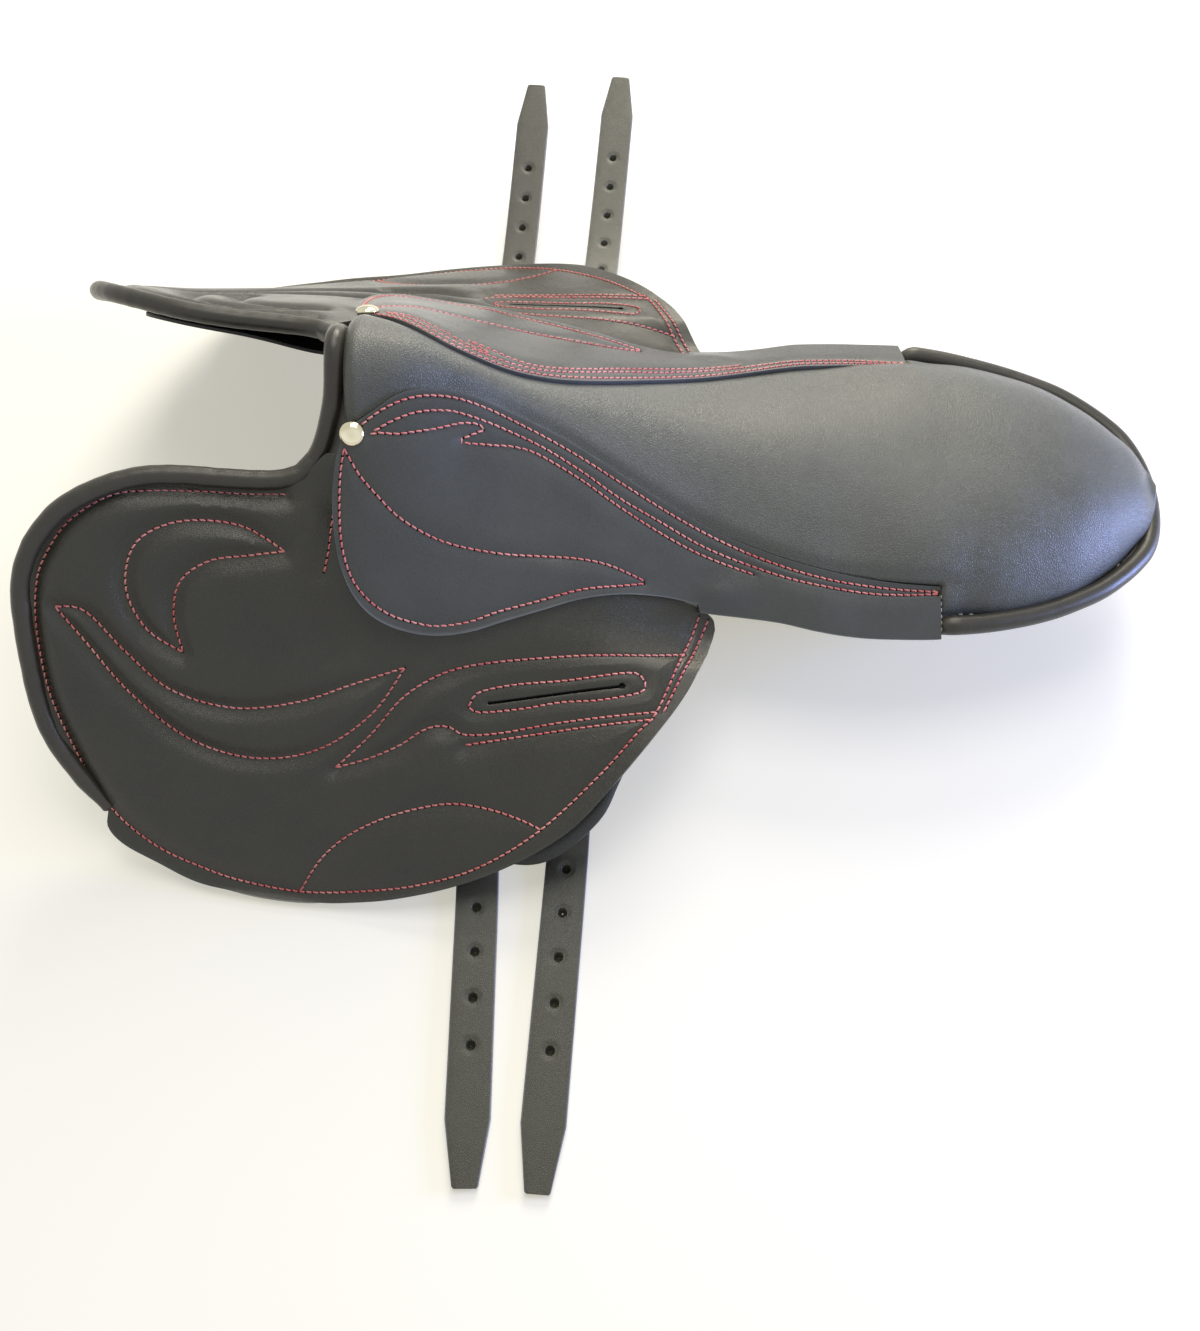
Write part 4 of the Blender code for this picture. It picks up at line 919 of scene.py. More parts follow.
# The knife that cuts the slit: the outline of the stirrup leather's passage, drawn upright
slot_outline = [(-76.3, 146.3), (-75.6, 145.5), (-74, 145.6), (-4.2, 137.7), (-3, 136.5),
                (-1.4, 136.4), (-0.4, 137.6), (-0.8, 139.2), (-2.4, 139.8), (-4, 139.2),
                (-74, 147.0), (-75.6, 147.2)]
count = len(slot_outline)
posts = np.array([(q, r, z) for z in (20.0, 140.0) for q, r in slot_outline], float)
walls = [(i, (i + 1) % count, (i + 1) % count + count, i + count) for i in range(count)]
walls += [tuple(range(count)), tuple(range(2 * count - 1, count - 1, -1))]


def bend_at(front, rear, law, side, reach):
    """Start and end of a bend, at distances square to the hinge line."""
    ends = [np.array((q[0], q[1], float(law(*q)))) for q in (front, rear)]
    along = unit(ends[1] - ends[0])
    out = np.array((0.0, 0.8, -0.6))
    out = unit(out - along * out.dot(along))
    middle = (ends[0] + ends[1]) / 2
    return [tuple(flipped(middle + out * d, side) * MM) for d in reach]


def flap_bend(side):
    return bend_at(HINGE_FRONT, HINGE_REAR, flap_top, side, (-1.0, 9.0))


for name, side in SIDES.items():
    flap = two_skins("flap_%s_leather" % name, flap_points, flap_under, flap_hide,
                     {"sewn": sewn, "rim": rim}, side)
    round_edges(flap, 1.0, 3)
    cut_out(flap, make_piece("slot_knife", flipped(posts, side), walls, flap_hide))
    attach(flap, "flap_" + name, "flap_leather", "flap_" + name, bend=flap_bend(side))


# Red sewing
# Three-strand linen thread, machine sewn at four millimetres to the stitch. Every stitch rises
# from one awl hole, lies slightly aslant in its groove, and sinks into the next.

def twisted_thread(name, deep, light):
    """Twisted thread about 1 mm thick: two tones between its strands, and a waxed shine."""
    mat, tree = material(name)
    where = add(tree, "TexCoord").outputs["Object"]
    strand = add(tree, "TexNoise", {"Vector": where, "Scale": 1000 / 0.7, "Detail": 3.0})
    dye = add(tree, "TexNoise", {"Vector": where, "Scale": 1000 / 25, "Detail": 2.0})
    mixed = add(tree, "Math", {0: strand, 1: dye})
    half = add(tree, "Math", {0: mixed, 1: 0.5}, operation="MULTIPLY")
    tint = add(tree, "ValToRGB", {"Fac": half}, ((0.35, deep), (0.62, light)))
    ply = add(tree, "Bump", {"Height": strand, "Strength": 0.6, "Distance": 0.0003})
    waxed = add(tree, "MapRange", {"Value": dye, "To Min": 0.38, "To Max": 0.55})
    finish(tree, Base_Color=tint, Roughness=waxed, Normal=ply)
    return mat


# Waxed red thread: deep red between its strands and pale coral on them, the pale coral partly a
# painted highlight
thread = twisted_thread("waxed_red_linen_thread", "d04c4e", "ffb0a8")
STITCH_PITCH = 4.0

# Awl holes: near-black matt discs, painted shade where the thread sinks into the leather
awl_hole_shade, tree = material("painted_awl_hole_shade")
where = add(tree, "TexCoord").outputs["Object"]
torn = add(tree, "TexNoise", {"Vector": where, "Scale": 1000 / 0.5})
tint = add(tree, "ValToRGB", {"Fac": torn}, ((0.0, "070607"), (1.0, "191314")))
raw = add(tree, "MapRange", {"Value": torn, "To Min": 0.75, "To Max": 0.95})
finish(tree, Base_Color=tint, Roughness=raw, Specular_IOR_Level=0.1)


def sewing_tree(mat, hole_shade_mat):
    """Geometry nodes that lay one arched stitch at every point, with a near-black disc at its end
    as painted shade in its awl hole.
    """
    group = bpy.data.node_groups.new("sewing", "GeometryNodeTree")
    sockets = group.interface
    sockets.new_socket("Geometry", in_out="INPUT", socket_type="NodeSocketGeometry")
    for label, value in (("Stitch length", 0.0031), ("Thread thickness", 0.00105),
                         ("Hole spacing", 0.002)):
        size = sockets.new_socket(label, in_out="INPUT", socket_type="NodeSocketFloat")
        size.default_value = value
    sockets.new_socket("Geometry", in_out="OUTPUT", socket_type="NodeSocketGeometry")
    given = add(group, "NodeGroupInput")
    length, thick = given.outputs["Stitch length"], given.outputs["Thread thickness"]
    half, back, dip, crest, radius, wide = [
        add(group, "Math", {0: size, 1: times}, operation="MULTIPLY")
        for size, times in ((length, 0.5), (length, -0.5), (thick, -0.5), (thick, 0.9),
                            (thick, 0.5), (thick, 0.72))]
    points = [add(group, "CombineXYZ", {"X": a, "Z": c})
              for a, c in ((back, dip), (0.0, crest), (half, dip))]
    arch = add(group, "GeometryNodeCurveQuadraticBezier",
               {"Resolution": 6, "Start": points[0], "Middle": points[1], "End": points[2]})
    round_thread = add(group, "GeometryNodeCurvePrimitiveCircle",
                       {"Resolution": 6, "Radius": radius})
    stitch = add(group, "GeometryNodeCurveToMesh",
                 {"Curve": arch, "Profile Curve": round_thread, "Fill Caps": True})
    soft = add(group, "GeometryNodeSetShadeSmooth", {"Geometry": stitch})
    run = add(group, "GeometryNodeInputNamedAttribute", {"Name": "run"}, data_type="FLOAT_VECTOR")
    up = add(group, "GeometryNodeInputNamedAttribute", {"Name": "lie"}, data_type="FLOAT_VECTOR")
    ahead = add(group, "FunctionNodeAlignRotationToVector", {"Vector": run}, axis="X")
    turn = add(group, "FunctionNodeAlignRotationToVector", {"Rotation": ahead, "Vector": up},
               axis="Z", pivot_axis="X")
    disc = add(group, "GeometryNodeMeshCircle", {"Vertices": 8, "Radius": wide}, fill_type="NGON")
    there = add(group, "CombineXYZ", {"X": given.outputs["Hole spacing"]})
    moved = add(group, "GeometryNodeTransform", {"Geometry": disc, "Translation": there})
    both = add(group, "GeometryNodeJoinGeometry")
    for shape, dye in ((moved, hole_shade_mat), (soft, mat)):
        laid = add(group, "GeometryNodeInstanceOnPoints",
                   {"Points": given.outputs["Geometry"], "Instance": shape, "Rotation": turn})
        dyed = add(group, "GeometryNodeSetMaterial", {"Geometry": laid, "Material": dye})
        group.links.new(dyed.outputs[0], both.inputs[0])
    real = add(group, "GeometryNodeRealizeInstances", {0: both})
    add(group, "NodeGroupOutput", {"Geometry": real})
    return group


red_sewing = sewing_tree(thread, awl_hole_shade)


def sew(name, side, law, seams, level, sizes=None, group=red_sewing, slant=7.0,
        pitch=STITCH_PITCH):
    """Sew seams that lie on a law of height, at a level above it."""
    spots, runs, lies = [], [], []
    for line in seams:
        length = np.linalg.norm(np.diff(line, axis=0), axis=1).sum()
        count = max(1, int(round(length / pitch)))
        halves = even(line, 2 * count + 1)
        p, ahead = halves[1::2], unit(np.gradient(halves, axis=0)[1::2])
        up = lie(law, p[:, 0], p[:, 1])
        spots.append(p + up * level)
        aside = np.cross(up, ahead)
        lean = math.radians(slant)
        runs.append(ahead * math.cos(lean) + aside * math.sin(lean))
        lies.append(up)
    mesh = bpy.data.meshes.new(name)
    mesh.from_pydata((flipped(np.concatenate(spots), side) * MM).tolist(), [], [])
    for key, rows in (("run", runs), ("lie", lies)):
        layer = mesh.attributes.new(key, "FLOAT_VECTOR", "POINT")
        layer.data.foreach_set("vector", flipped(np.concatenate(rows), side).ravel())
    obj = bpy.data.objects.new(name, mesh)
    scene.collection.objects.link(obj)
    machine = obj.modifiers.new("sewing", "NODES")
    machine.node_group = group
    for label, value in (sizes or {}).items():
        socket = group.interface.items_tree[label]
        machine[socket.identifier] = value
    return settle(obj)


for name, side in SIDES.items():
    rows = sew("flap_%s_stitches" % name, side, flap_top, flap_seams, -0.2)
    deep = sew("flap_%s_edge_stitches" % name, side, flap_top, [roll_seam], -1.3,
               {"Stitch length": 0.0028, "Thread thickness": 0.0009})
    for stitches in (rows, deep):
        attach(stitches, "flap_" + name, "flap_leather", bend=flap_bend(side))


# Front rolls
# Each flap's front edge is bound over a cord of felt: one long roll that leaves the pommel and
# runs round the knee to the flap's bottom edge.

# Binding leather: thinner and smoother than the flap, olive black with a soft shine, its grain
# about 0.8 mm across
binding = leather("binding_leather", "24221b", "48453a", 0.8, 0.06, 0.38, edge="4b4c49",
                  sheen=0.03)


def roll(name, points, radius, sides=18, ends=5):
    """A roll bound in leather along points, closed by rounded ends."""
    ahead = unit(np.gradient(points, axis=0))
    count = len(points)
    radius = np.broadcast_to(radius, count)
    lift = np.zeros((count, 3))
    hold = np.array((0.0, 0.0, 1.0))
    for i, t in enumerate(ahead):
        lift[i] = hold = unit(hold - t * hold.dot(t))
    aside = np.cross(ahead, lift)
    angle = np.linspace(0, 2 * np.pi, sides, endpoint=False)
    caps = [k / ends * math.pi / 2 for k in range(1, ends + 1)]
    places = [(0, -math.sin(a), math.cos(a)) for a in caps[::-1]]
    places += [(i, 0.0, 1.0) for i in range(count)]
    places += [(-1, math.sin(a), math.cos(a)) for a in caps]
    rings = [points[i] + ahead[i] * (0.6 * radius[i] * shift)
             + np.outer(np.cos(angle), aside[i]) * radius[i] * max(size, 0.02)
             + np.outer(np.sin(angle), lift[i]) * radius[i] * max(size, 0.02)
             for i, shift, size in places]
    grid = np.arange(len(rings) * sides).reshape(len(rings), sides)
    quads = tube_faces(grid) + [grid[0].tolist(), grid[-1, ::-1].tolist()]
    return make_piece(name, np.concatenate(rings), quads, binding)


ROLL_STEPS = 170
plan = spline(ROLL_PATH, ROLL_STEPS)
centre = np.concatenate((plan, flap_top(plan[:, 0], plan[:, 1])[:, None]), 1)
centre = centre - lie(flap_top, plan[:, 0], plan[:, 1]) * 1.2
step = np.arange(ROLL_STEPS)
plump = ROLL_RADIUS + 0.1 * np.sin(step * 0.9) * np.sin(step * 0.23)
taper = 1.0 - 0.35 * ease(0.94, 1.0, np.linspace(0, 1, ROLL_STEPS))
for name, side in SIDES.items():
    piece = roll("front_roll_%s_leather" % name, flipped(centre, side), plump * taper)
    attach(piece, "flap_" + name, "roll_leather", "front_roll_" + name, bend=flap_bend(side))


# Seat foam and seat leather
# A sheet of foam over the webs softens the seat. One hide is strained over it, wet, from the
# pommel to the cantle, drawn down at the skirts and nailed under the rim.

# Latex foam: pale buff, matt, with open cells about 0.8 mm wide
latex = foam_rubber("buff_latex_foam", "b8a981", "d8ccaa", 0.8)

x = np.concatenate((np.linspace(-137, 300, 120), (304, 308, 311)))[:, None]
half = stations((-138, 34), (-118, 40), (-60, 50), (0, 62), (41, 70), (110, 77), (190, 79),
                (240, 69), (275, 48), (300, 28), (311, 15))(x)
t = np.linspace(-1, 1, 41)[None, :]
b = np.sin(t * np.pi / 2) * half
side_share = np.abs(b) / half
a = np.abs(b)
lowered = np.minimum(saddle_top(x, a), seat_top(x, a)) - 3.8 / upright(x, a)
covered = np.where(x < 179, lowered, seat_top(x, a) - 2.0)
foam_top = covered - 3.0 / upright(x, a)
foam_low = tree_top(x, a) + 5.4 - 9.0 * ease(297, 300, x)
foam_top = np.maximum(foam_top - 1.2 * side_share ** 8, foam_low + 0.6)
foam = two_skins("seat_foam_latex", xyz(x, b, foam_top), xyz(x, b, foam_low), latex)
attach(round_edges(foam, 0.25, 2), "saddle", "foam", "seat_foam")

# Seat hide: mid grey-black, its pebbles stretched to about 1.3 mm, with a soft satin shine
seat_hide = leather("strained_seat_hide", "41433e", "6b6e68", 1.3, 0.20, 0.38, sheen=0.04)
skirt_edge = stations((-146, 39), (-130, 30.5), (-117, 22.5), (-98, 15), (-78, 12.4), (-58, 14.4),
                      (-37, 19), (-15, 27.5), (18, 42), (64, 60), (109, 73), (154, 79), (177, 80))
SKIRT_END = 177.0
SEAT_STEP = 3.8

nose = [(-146.2, 12.0), (-146.3, 8.5), (-146.1, 5.6), (-145.4, 3.4), (-143.9, 1.7), (-142.0, 0.5)]
SEAT_FRONT = -140.0
FRONT_STEPS = 190
front_x = np.concatenate(([SEAT_FRONT] * len(nose),
                          np.linspace(SEAT_FRONT, 177.4, FRONT_STEPS)))
shift = np.array([q[0] - SEAT_FRONT for q in nose] + [0.0] * FRONT_STEPS)
drop = np.array([q[1] for q in nose] + [0.0] * FRONT_STEPS)
tip_share = np.linspace(0, 0.965, 16)
rear_x = np.concatenate((np.linspace(178.3, 302.5, 74),
                         CANTLE_ROUND + (CANTLE_TIP - CANTLE_ROUND)
                         * (1 - (1 - tip_share) ** 2)))
inner_cols, outer_cols = 44, 14

# In front: seen up to the skirt's edge, then a step lower under the skirt
edge = (skirt_edge(front_x) - 0.1)[:, None]
side_line = np.where(front_x < NOTCH, on_line(FOLD_FRONT, FOLD_REAR, front_x) - 2.0,
                     seat_side(front_x) + 1.0)[:, None]
fx = front_x[:, None]
seen_b = edge * np.linspace(0, 1, inner_cols + 1)[None, :]
seen_z = seat_top(fx, seen_b)
seen_z = seen_z - (2.3 - 0.9 * ease(120, 177, fx)) * np.exp(-((edge - seen_b) / 4.5) ** 2)
for height, length, power in ((4.0, 24, 2), (4.5, 13, 4)):
    swell = height * np.exp(-((fx + 148) / length) ** 2)
    seen_z = seen_z + swell * (1 - (seen_b / edge) ** power)
step_b = edge - SEAT_STEP * lie(saddle_top, fx, edge)[..., 1]
hid_b = step_b + (side_line - step_b) * np.linspace(0, 1, outer_cols)[None, :]
hid_z = np.minimum(saddle_top(fx, hid_b), seat_top(fx, hid_b)) - SEAT_STEP / upright(fx, hid_b)
front_b = np.concatenate((seen_b, hid_b), 1)
front_z = np.concatenate((seen_z, hid_z), 1) - drop[:, None]
front = xyz(fx + shift[:, None], front_b, front_z)

# Behind the skirts: seen as far as the welt, puckered where it is drawn over the rim
rx = rear_x[:, None]
side_line = seat_side(rx) + 1.0 - 3.0 * ease(178, 196, rx) * (1 - ease(300, 318.5, rx))
# The grid's columns stand even as far as the split, and close up towards the rim
split = 80.0 / 93.6
outer_t = 1 - (1 - np.sin(np.linspace(0, 1, outer_cols) * np.pi / 2)) * (1 - split)
cols = np.concatenate((np.linspace(0, split, inner_cols + 1), outer_t))[None, :]
cols[0, inner_cols + 1] = split + 0.006
rear_b = side_line * cols
share = np.clip(rear_b / (side_line - 1.0 + ease(178, 196, rx)), 0.0, 1.0)
rear_z = crowned(rx, rear_b, share)
rear_z = rear_z - 1.4 * np.exp(-((rear_b - 79.9) / 4.5) ** 2) * (1 - ease(178, 196, rx))
rear_z = rear_z + 2.5 * ease(288, 319, rx)
around = arc_lengths(xyz(rx[:, 0], side_line[:, 0]), 0)[:, None]
PUCKER_PITCH = 11.0
pucker = 0.5 + 0.5 * np.cos(around / PUCKER_PITCH * 2 * np.pi)
rear_z = rear_z - 0.3 * pucker * ease(0.9, 1, share)
rear = xyz(rx, rear_b, rear_z)

# The hide's margin is tucked under all round
half_seat = np.concatenate((front, rear))
line = half_seat[:, -1]
run = np.gradient(line[:, :2], axis=0)
away = xyz(-run[:, 1], run[:, 0])
away /= np.maximum(np.linalg.norm(away, axis=1, keepdims=True), 1e-6)
tucks = []
for inward, down in ((-0.1, 1.6), (0.8, 3.4), (2.4, 5.2), (5.0, 6.6), (8.0, 7.0)):
    moved = line.copy()
    reach = np.minimum(inward, 0.4 * line[:, 1])[:, None]
    moved[:, :2] -= away * reach
    moved[:, 1] = np.maximum(moved[:, 1], 0.0)
    moved[:, 2] -= down
    tucks.append(moved[:, None])
half_seat = np.concatenate([half_seat] + tucks, 1)
other = half_seat[:, :0:-1] * (1.0, -1.0, 1.0)
seat_skin = np.concatenate((other, half_seat), 1)
end = seat_skin[-1:].copy()
end[..., 0] = CANTLE_TIP + 0.2
end[..., 1] *= 0.3
end[..., 2] = np.minimum(end[..., 2], 69.0)
seat_skin = np.concatenate((seat_skin, end))
rows, cols = seat_skin.shape[:2]
quads = sheet_faces(np.arange(rows * cols).reshape(rows, cols)).tolist()
seat = make_piece("seat_leather_hide", seat_skin.reshape(-1, 3), quads, seat_hide)
top_face = max(seat.data.polygons, key=lambda f: f.center.z)
if top_face.normal.z < 0:
    seat.data.flip_normals()
wall = seat.modifiers.new("hide", "SOLIDIFY")
wall.thickness = 1.6 * MM
wall.offset = -1.0
settle(seat)
attach(seat, "saddle", "seat_leather", "seat_cover")


# Cantle welt
# The seat is finished round the cantle by a rolled leather rim over cord, pulled tight against
# the seat by a hidden row of waxed thread that shows as a few pale specks.

rim_point = stations((41, 95), (64, 97), (86, 100), (109, 105), (131, 107.5), (154, 108),
                     (177, 107.5), (200, 105), (220, 101), (240, 95.5), (261, 87), (276, 79.5),
                     (290, 69.5), (304, 55.5), (315, 39), (322, 22))
rim_height = stations((41, 84), (86, 81), (131, 78), (177, 75), (236, 70), (288, 67), (325, 62))
path = [(q - 0.4, float(rim_point(q)) - 5.0, float(rim_height(q)) - 7.4)
        for q in (84, 96, 114, 140, 170, 200, 225, 245, 262, 277, 290, 302, 312)]
path += [(318.2, 21, 55.4), (320.6, 0, 54.8)]
path += [(q, -r, z) for q, r, z in path[-2::-1]]
line = spline(path, 260)
full = ease(168, 186, line[:, 0])[:, None]
line = line + full * (0.0, 0.0, 9.8)
inward = unit(xyz(-line[:, 0] + 200.0, -line[:, 1], 0.0))
at_tip = ease(285, 318, line[:, 0])[:, None]
line = line + inward * (full * (2.7 - 1.7 * at_tip) + (1 - full) * 8.0)
welt = roll("cantle_welt_leather", line, 4.2 + 1.4 * full[:, 0], sides=20)
attach(welt, "saddle", "roll_leather", "cantle_welt")
t = np.linspace(0, 1, 6)[None, :, None]
ribbon = line[:, None] + inward[:, None] * t * 9.0 - (0.0, 0.0, 1.0) * (1.0 + 5.0 * t)
flange = two_skins("cantle_welt_flange_leather", ribbon, ribbon - (0.0, 0.0, 1.2), binding)
attach(flange, "saddle", "roll_leather")

# Bone thread: undyed linen, dull, finer than the red
bone_thread = twisted_thread("undyed_bone_linen_thread", "8d8b80", "dedbd0")
bone_sewing = sewing_tree(bone_thread, awl_hole_shade)


def rim_edge(x, b):
    """Height of the rim's seam, the same whatever b is."""
    return seam_height(x) + 0.8


specks = [trace([(q, seat_side(q) - 1.4), (q + 2.0, seat_side(q + 2.0) - 1.4)], rim_edge)
          for q in (181.0, 185.0, 189.0, 195.0, 201.0, 236.0, 262.0, 268.0, 288.0)]
cut_end = [trace([(177.6, 84.0), (177.6, 104.0)], saddle_top)]
for name, side in SIDES.items():
    for part, law, seams, level in (("seam", rim_edge, specks, 0.0),
                                    ("end", saddle_top, cut_end, -0.9)):
        threads = sew("cantle_%s_%s_threads" % (part, name), side, law, seams, level,
                      {"Stitch length": 0.0019, "Thread thickness": 0.0006}, bone_sewing, 0.0, 3.6)
        attach(threads, "saddle", "roll_leather")


# Skirts
# A skirt on each side covers the stirrup bar: a strip sewn down along the seat, and a lobe that
# hangs over the flap and folds up with it. The cut edges are bevelled and dyed; their pale colour
# is part burnish, part painted highlight.

# Skirt leather: smooth charcoal with a cool satin shine, a faint grain about 0.8 mm across,
# and pale grey cut edges: burnish with a painted highlight
skirt_hide = leather("satin_skirt_leather", "323433", "565956", 0.8, 0.05, 0.34, edge="8f9294",
                     sheen=0.03)
LOBE_EDGE = [(-148.2, 45.5), (-150.5, 51), (-152.3, 60), (-153.5, 70), (-153, 82), (-151, 94),
             (-146, 105), (-138, 113), (-127, 117.5), (-112, 119.5), (-97, 119), (-82, 116),
             (-66, 110.5), (-46, 104), (-25, 97), (-4, 92), (11, 90), (25, 89.6), (40.4, 91.2)]


def skirt_top(x, b):
    """The skirt lies on the seat's flank and stays clear of the flap below its lobe."""
    clear = flap_top(x, b) + SKIRT_THICK + 1.5
    hull = saddle_top(x, b)
    lifted = 0.5 * (hull + clear + np.hypot(hull - clear, 1.5))
    near = ease(0.0, 16.0, b - on_line(FOLD_FRONT, FOLD_REAR, x)) * (x <= NOTCH)
    return hull + (lifted - hull) * near


outer = spline(LOBE_EDGE, 260)
rim_x = np.linspace(41.4, SKIRT_END, 90)
outer = np.concatenate((outer, xyz(rim_x, rim_point(rim_x))))
# Ribs from the cut edge up to the seat: fanned at the front corner, straight across behind it
CORNER_X, CORNER_WAY = -71.0, 150.0
corner = stations((0, -145.5), (30, -143), (60, -136), (85, -124), (110, -108), (150, -71))
travel = arc_lengths(outer, 0)
blend_in = ease(CORNER_X, -40, outer[:, 0])
inner_x = np.where(travel < CORNER_WAY, corner(travel), outer[:, 0] * blend_in
                   + (1 - blend_in) * (CORNER_X + (travel - CORNER_WAY)))
inner_x = np.maximum.accumulate(np.minimum(inner_x, SKIRT_END))
inner_b = skirt_edge(inner_x) + 0.3 + 0.7 * (1 - ease(-100, -60, inner_x))
x, b = between(xyz(inner_x, inner_b), outer, 64)
SKIRT_SEAMS = [[(-140, 40.4), (-132.5, 35), (-117.5, 27), (-103, 20.5), (-88.5, 17), (-68.5, 17),
                (-47.5, 21), (-26, 28), (-4, 37), (18.5, 46.5), (41, 55.5), (75, 68),
                (108.5, 77.5), (142.5, 81.8), (176, 83.2)],
               [(-131, 40.5), (-117.5, 33.5), (-108, 28.8), (-98, 25), (-88.5, 23), (-68.5, 23),
                (-47.5, 26.5), (-26, 34.5), (-4, 45), (18.5, 53.5), (41, 62.5), (64, 70),
                (97.5, 79.5), (131, 84.5), (154, 85.2), (176, 84.2)],
               [(-133, 41.8), (-128.5, 41), (-118, 40), (-103, 34.5), (-88.5, 27.5), (-79.5, 25.2),
                (-76.5, 26.8)],
               [(-76.5, 26.8), (-88, 35), (-73.5, 32.5), (-60.5, 30), (-47.5, 31), (-26, 38.8),
                (-4, 49.3), (18.5, 58.8), (41, 67), (71.5, 76)],
               [(-146.5, 47.5), (-149, 60), (-150, 77), (-149, 89), (-145, 100), (-137, 108),
                (-126, 113), (-111, 115.2), (-100, 115.2), (-84.5, 112.2), (-69, 106.3),
                (-47, 99.5), (-25.5, 92.6), (-4, 87.8), (10, 84.5)],
               [(-146.5, 47.5), (-139, 58), (-130, 66), (-120, 73), (-105, 78), (-89, 80),
                (-68, 80), (-47, 78.6), (-26, 77.6), (-9, 78.6), (10, 83.2)],
               [(173.0, 82.2), (175.6, 84.6)], [(173.4, 85.0), (175.8, 82.6)]]
bar_bump = 1.7 * np.exp(-((x - 54) / 14) ** 2 - ((b - 86) / 6.5) ** 2)
skirt_seams = [trace(q, skirt_top) for q in SKIRT_SEAMS]
d = from_seams(over(skirt_top, x, b, 0.0), skirt_seams)
# Nearness to a seam: the leather darkens there, partly pressed leather, partly painted shade in
# the groove
sewn = np.exp(-(d / 1.0) ** 2)
# Cut edges take the pale edge colour, a painted highlight on burnished leather; the edge along the
# seat gets less
rim = np.zeros_like(x)
rim[:, -1] = 1.0
rim[:, 0] = 0.4
top = over(skirt_top, x, b, quilted(d, 0.7, 5.0) + bar_bump)
bottom = over(skirt_top, x, b, -SKIRT_THICK)
for name, side in SIDES.items():
    skirt = two_skins("skirt_%s_leather" % name, top, bottom, skirt_hide,
                      {"sewn": sewn, "rim": rim}, side)
    round_edges(skirt, 0.8, 3)
    fold = bend_at(FOLD_FRONT, FOLD_REAR, saddle_top, side, (2.0, 15.0))
    attach(skirt, "lobe_" + name, "skirt_leather", "skirt_" + name, "skirt_lobe_" + name,
           bend=fold)
    stitches = sew("skirt_%s_stitches" % name, side, skirt_top, skirt_seams, -0.2)
    attach(stitches, "lobe_" + name, "skirt_leather", bend=fold)


# Pommel
# The arch is closed in front by a leather facing, and its edge is bound by a roll that meets
# the front rolls of both flaps.

path = [(-171.5, 49.4, 148.6), (-168.5, 47.0, 150.8), (-165, 43.4, 153.4), (-161, 38.8, 158.2),
        (-157, 31.8, 166), (-153, 21, 177.5), (-151.2, 9, 190.5), (-151, 0, 194.5)]
path += [(q, -r, z) for q, r, z in path[-2::-1]]
piece = roll("pommel_roll_leather", spline(path, 130), ROLL_RADIUS)
attach(piece, "saddle", "roll_leather", "pommel_roll")
outer = spline([(0, 186), (10, 182), (20, 171), (32, 159), (40, 150), (47, 134), (50, 112)], 40)
inner = spline([(0, 165), (9, 162), (17, 153), (23, 140), (28, 124), (31, 104)], 40)
b, z = between(np.concatenate((outer[:0:-1] * (-1, 1), outer)),
               np.concatenate((inner[:0:-1] * (-1, 1), inner)), 12)
facing = two_skins("pommel_facing_leather", xyz(-149.8, b, z), xyz(-147.4, b, z), lining_hide)
attach(round_edges(facing, 0.5, 2), "saddle", "lining_leather", "pommel_facing")


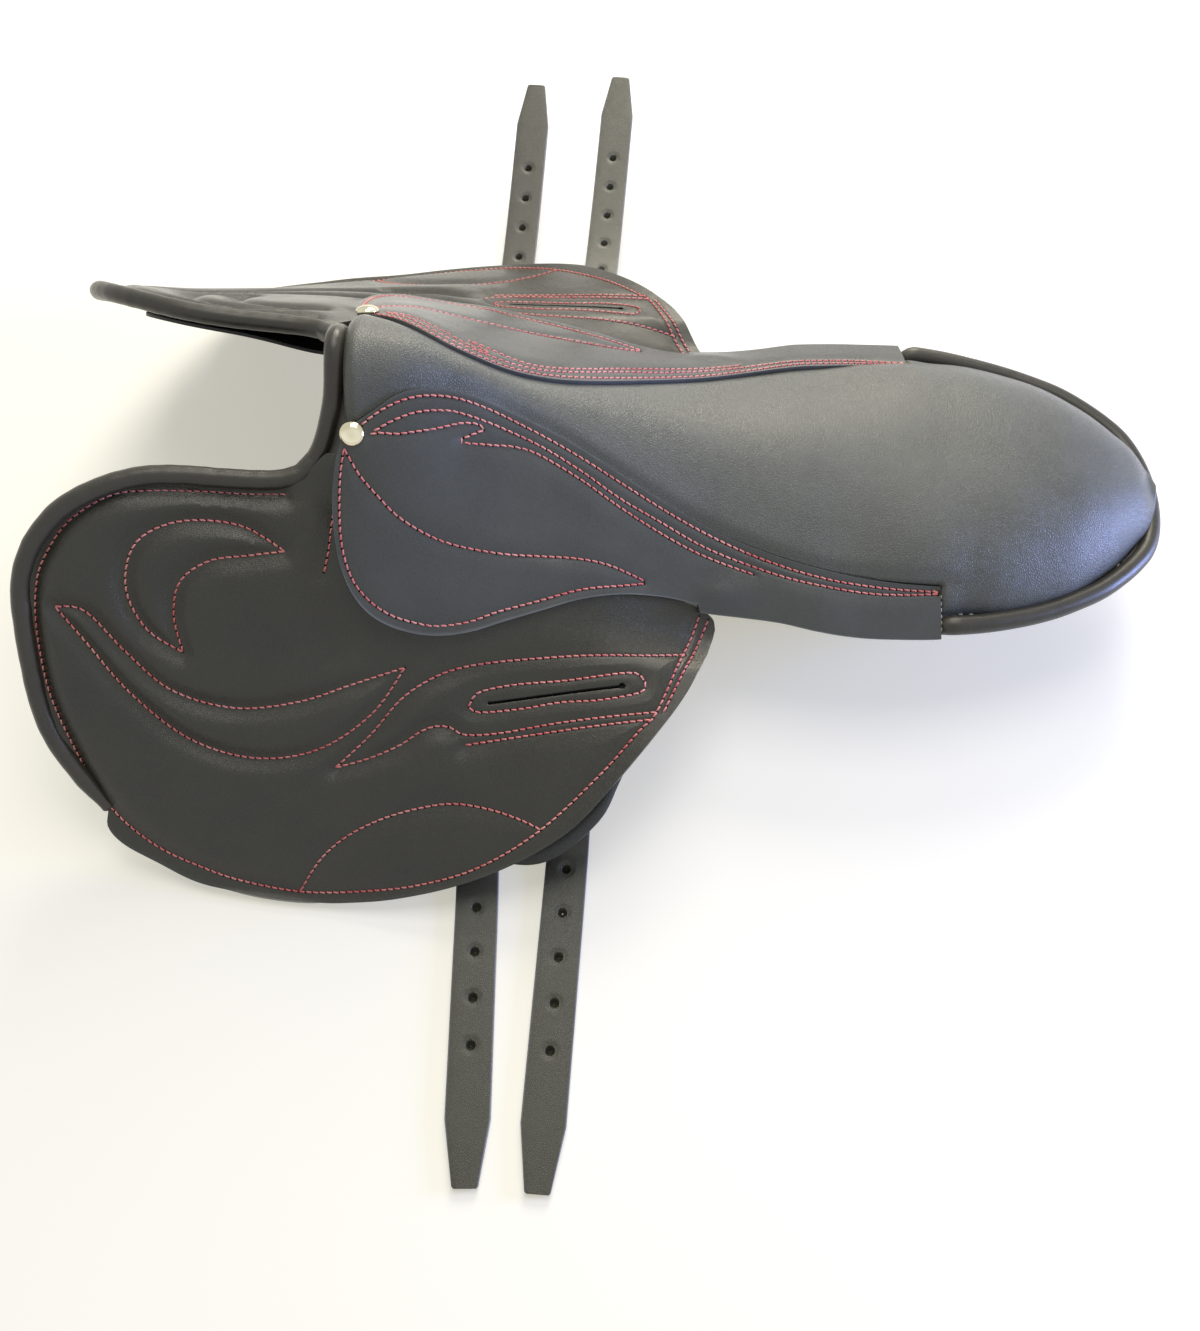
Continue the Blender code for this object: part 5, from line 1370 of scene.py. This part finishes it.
roll_side = spline([(-151, 0, 192), (-151.4, 9, 188.5), (-153, 21, 176.5), (-157, 32, 165.5),
                    (-161, 39.0, 157.4), (-166, 45.0, 152.2)], 40)
seat_side_b = np.array([0, 9, 21, 32, 40, 48.0])
rest = xyz(-142.5, seat_side_b, saddle_top(-143.0, seat_side_b) - SKIRT_THICK - 2.0)
t = np.linspace(0, 1, 10)[None, :, None]
ribbon = roll_side[:, None] * (1 - t) + spline(rest, 40)[:, None] * t
for name, side in SIDES.items():
    gusset = two_skins("pommel_gusset_%s_leather" % name, ribbon, ribbon + (1.2, 0.0, -1.2),
                       binding, side=side)
    attach(gusset, "saddle", "roll_leather")


# Pommel nails
# A domed nickel nail on each side pins the skirt's corner and the seat leather to the tree.

# Polished nickel: slightly warm, mirror bright, with a faint cloud of darker tone 9 mm wide
nickel, tree = material("polished_nickel_plate")
where = add(tree, "TexCoord").outputs["Object"]
nickel_cloud = add(tree, "TexNoise", {"Vector": where, "Scale": 1000 / 9, "Detail": 1.0})
tint = add(tree, "ValToRGB", {"Fac": nickel_cloud}, ((0.3, "c9c2a4"), (0.7, "f0ead2")))
shine = add(tree, "MapRange", {"Value": nickel_cloud, "To Min": 0.03, "To Max": 0.09})
finish(tree, Base_Color=tint, Metallic=1.0, Roughness=shine)
NAIL_AT = (-142.0, 41.6)
HEAD_RADIUS, HEAD_HEIGHT, SHANK_RADIUS, SHANK_DEPTH = 6.5, 3.2, 1.5, 12.5
dome = [(HEAD_RADIUS * math.sin(a), 0.5 + HEAD_HEIGHT * math.cos(a))
        for a in np.linspace(0.0, 1.5, 14)]
profile = dome[1:] + [(6.4, 0.55), (6.42, 0.35), (6.3, 0.25), (SHANK_RADIUS, 0.25),
                      (SHANK_RADIUS, 0.2 - SHANK_DEPTH), (0.8, -SHANK_DEPTH)]
points = turned(profile, 48)
grid = np.arange(points.size // 3).reshape(-1, 48)
ends = [(0, 0, dome[0][1]), (0, 0, -SHANK_DEPTH)]
points = np.concatenate((points.reshape(-1, 3), ends))
after = np.roll(grid, -1, 1)
quads = tube_faces(grid)
quads += [(grid[0, k], after[0, k], len(points) - 2) for k in range(48)]
quads += [(after[-1, k], grid[-1, k], len(points) - 1) for k in range(48)]
for name, side in SIDES.items():
    up = flipped(lie(saddle_top, *NAIL_AT), side)
    foot = np.array((NAIL_AT[0], side * NAIL_AT[1], float(saddle_top(*NAIL_AT)) + 0.2))
    nail = make_piece("pommel_nail_%s_nickel" % name, stand(points, up, foot), quads, nickel)
    attach(nail, "saddle", "nickel", "pommel_nail_" + name)
